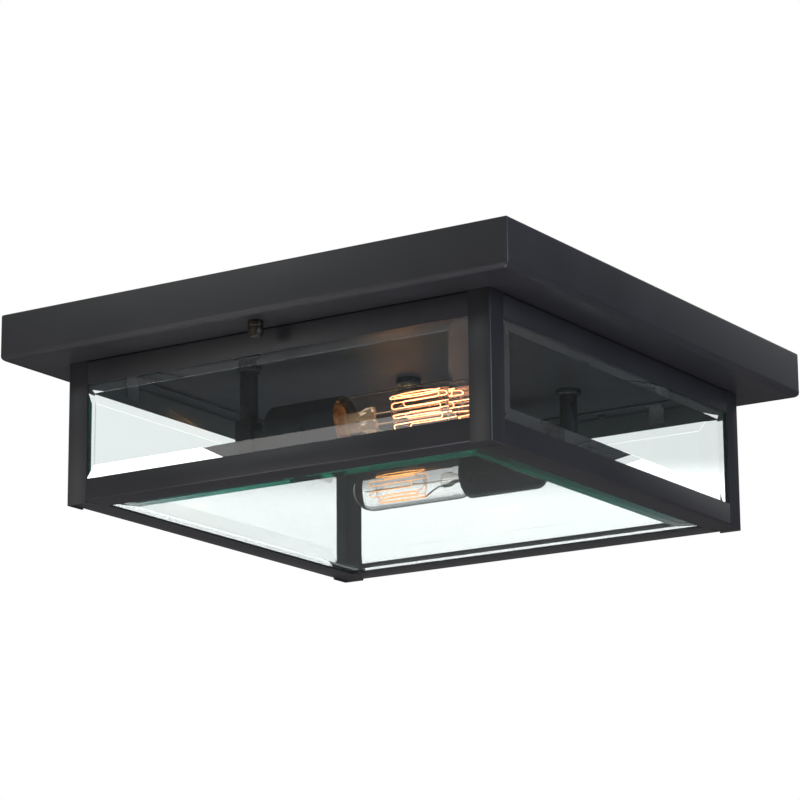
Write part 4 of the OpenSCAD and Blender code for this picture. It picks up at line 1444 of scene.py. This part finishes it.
# %% Glass foot
foot_r = 3.2 * MM
flare_r = 10.8 * MM
flare_len = 9 * MM
foot_end = 24 * MM
rod_r = 0.55 * MM
rod_bead_r = 1.7 * rod_r
rod_end = 90.5 * MM
outline = [(0, neck_u + 0.6 * MM), (flare_r - 1.2 * MM, neck_u), (flare_r, neck_u)]
outline += [(foot_r + (flare_r - foot_r) * (1 - i / 6) ** 2, neck_u + flare_len * i / 6) for i in range(1, 7)]
outline += [(foot_r, u * MM) for u in (0, 4, 8, 11, 13.5, 16, 19, 22)]
outline += [(foot_r - 0.5 * MM, foot_end - 0.5 * MM), (foot_r - 1.6 * MM, foot_end), (0, foot_end)]
foot = lathe("foot", outline, 40)
for start, wide, thin in ((12.5, 1.3, 0.86), (15, 1.3, 0.85), (18, 1.03, 0.85)):
    pick(foot, "VERT", lambda corner: corner.z > start * MM)
    bpy.ops.transform.resize(value=(wide, thin, 1), center_override=(0, 0, 0))
done()
outline = [(0, foot_end - MM), (rod_r, foot_end - MM), (rod_r, loop_near - MM), (rod_bead_r, loop_near)]
outline += [(rod_r, loop_near + MM), (rod_r, loop_far - 3 * MM), (rod_bead_r, loop_far - 2 * MM)]
outline += [(rod_r, loop_far - MM), (rod_r, rod_end - MM)] + arc((0, rod_end - rod_r), rod_r, 0, 90, 4)
mount = join("foot", [foot, lathe("rod", outline, 20)])
smooth(mount, 50)
# Lamp a's foot takes the copy with the painted glow, and lamp b's is plain drawn glass.
pair(along_cup(mount), "glass_foot", "lamp_mount", foot_glass_painted_glow)

# %% Hooks and feed wires
hook_r = 0.2 * MM
feed_r = 0.35 * MM
pinch_u = 12 * MM
hook_wires = []
for leg in range(legs - 1):
    outward = leg % 2 == 0
    inside = slip(leg) + 2 * wire_r + hook_r
    u = loop_far - inside if outward else loop_near + inside
    root = loop_far - 1.5 * MM if outward else loop_near
    turn = leg_turn * (leg + 0.5)
    points = [on_ring(turn, root, 0.5 * rod_r), on_ring(turn, root, 0.35 * ring_r)]
    points += [on_ring(turn, u, 0.94 * ring_r), on_ring(turn, u, ring_r + 0.5 * MM)]
    points += [on_ring(turn, u + 0.6 * MM, ring_r + 0.7 * MM)]
    hook_wires.append(wire("hook", points, hook_r, 8))
for turn, side in ((0, 0.6 * MM), (leg_turn * (legs - 1), -0.6 * MM)):
    points = [at_lamp(3.0 * MM, side, pinch_u), at_lamp(3.2 * MM, side, foot_end)]
    points += [at_lamp(3.4 * MM, side, foot_end + 5 * MM), on_ring(turn, loop_near - 3 * MM, 0.9 * ring_r)]
    points += [on_ring(turn, loop_near)]
    hook_wires.append(wire("feed", sweep_through(points, 14), feed_r, 8))
pair(join("hooks", hook_wires), "hooks_and_feeds", "lamp_mount", zinc, zinc)

# %% [markdown]
# The cap's thread is rolled into thin brass, so its crests are round. It is a smooth barrel with a
# rounded ridge wound on it. Below it come the black glass insulator and the round contact.

# %% Screw caps
cap_end = -41.5 * MM
barrel_root = 12.35 * MM
barrel_crest = 13.1 * MM
barrel_in = neck_r + 0.05 * MM
cap_rim = -13 * MM - cap_end
cap_shelf = 6.2 * MM
first_roll = 6.2 * MM
insulator_top = 4.5 * MM
outline = [(5 * MM, 1.2 * MM), (11.2 * MM, insulator_top - 0.4 * MM), (barrel_root, insulator_top + 1.2 * MM)]
outline += [(barrel_root, cap_rim - 3 * MM), (barrel_crest, cap_rim - 0.6 * MM), (barrel_crest, cap_rim)]
outline += [(barrel_in, cap_rim), (barrel_in, cap_shelf), (0, cap_shelf), (0, 1.2 * MM), outline[0]]
barrel = lathe("barrel", outline, 72)
roll_foot = barrel_root - 0.1 * MM
roll_rise = barrel_crest - barrel_root
roll_len = 3.0 * MM
roll = [(roll_foot, 0)]
roll += [(barrel_root + roll_rise * math.sin(math.pi * i / 6), roll_len * i / 6) for i in range(1, 6)]
roll += [(roll_foot, roll_len)]
thread_roll = ridge("roll", [(r, u + first_roll) for r, u in roll], 3.4 * MM, 5, 48)
cap_shell = join("cap_shell", [barrel, thread_roll])
smooth(cap_shell, 45)
pair(along_cup(cap_shell, cap_end), "brass_cap", "lamp_cap")

outline = [(3.9 * MM, 0.9 * MM), (5.2 * MM, 1.0 * MM), (11.45 * MM, insulator_top - 0.5 * MM)]
outline += [(10.8 * MM, insulator_top), (4.9 * MM, 1.6 * MM), (3.9 * MM, 1.5 * MM), outline[0]]
insulator = lathe("insulator", outline, 48)
smooth(insulator, 45)
pair(along_cup(insulator, cap_end), "cap_insulator", "lamp_cap", black_glass, black_glass)

outline = [(0, 0), (3.0 * MM, 0), (3.8 * MM, 0.4 * MM), (4.2 * MM, 1.2 * MM), (0, 1.4 * MM)]
button = lathe("button", outline, 32)
smooth(button, 45)
pair(along_cup(button, cap_end), "end_contact", "lamp_cap", zinc, zinc)
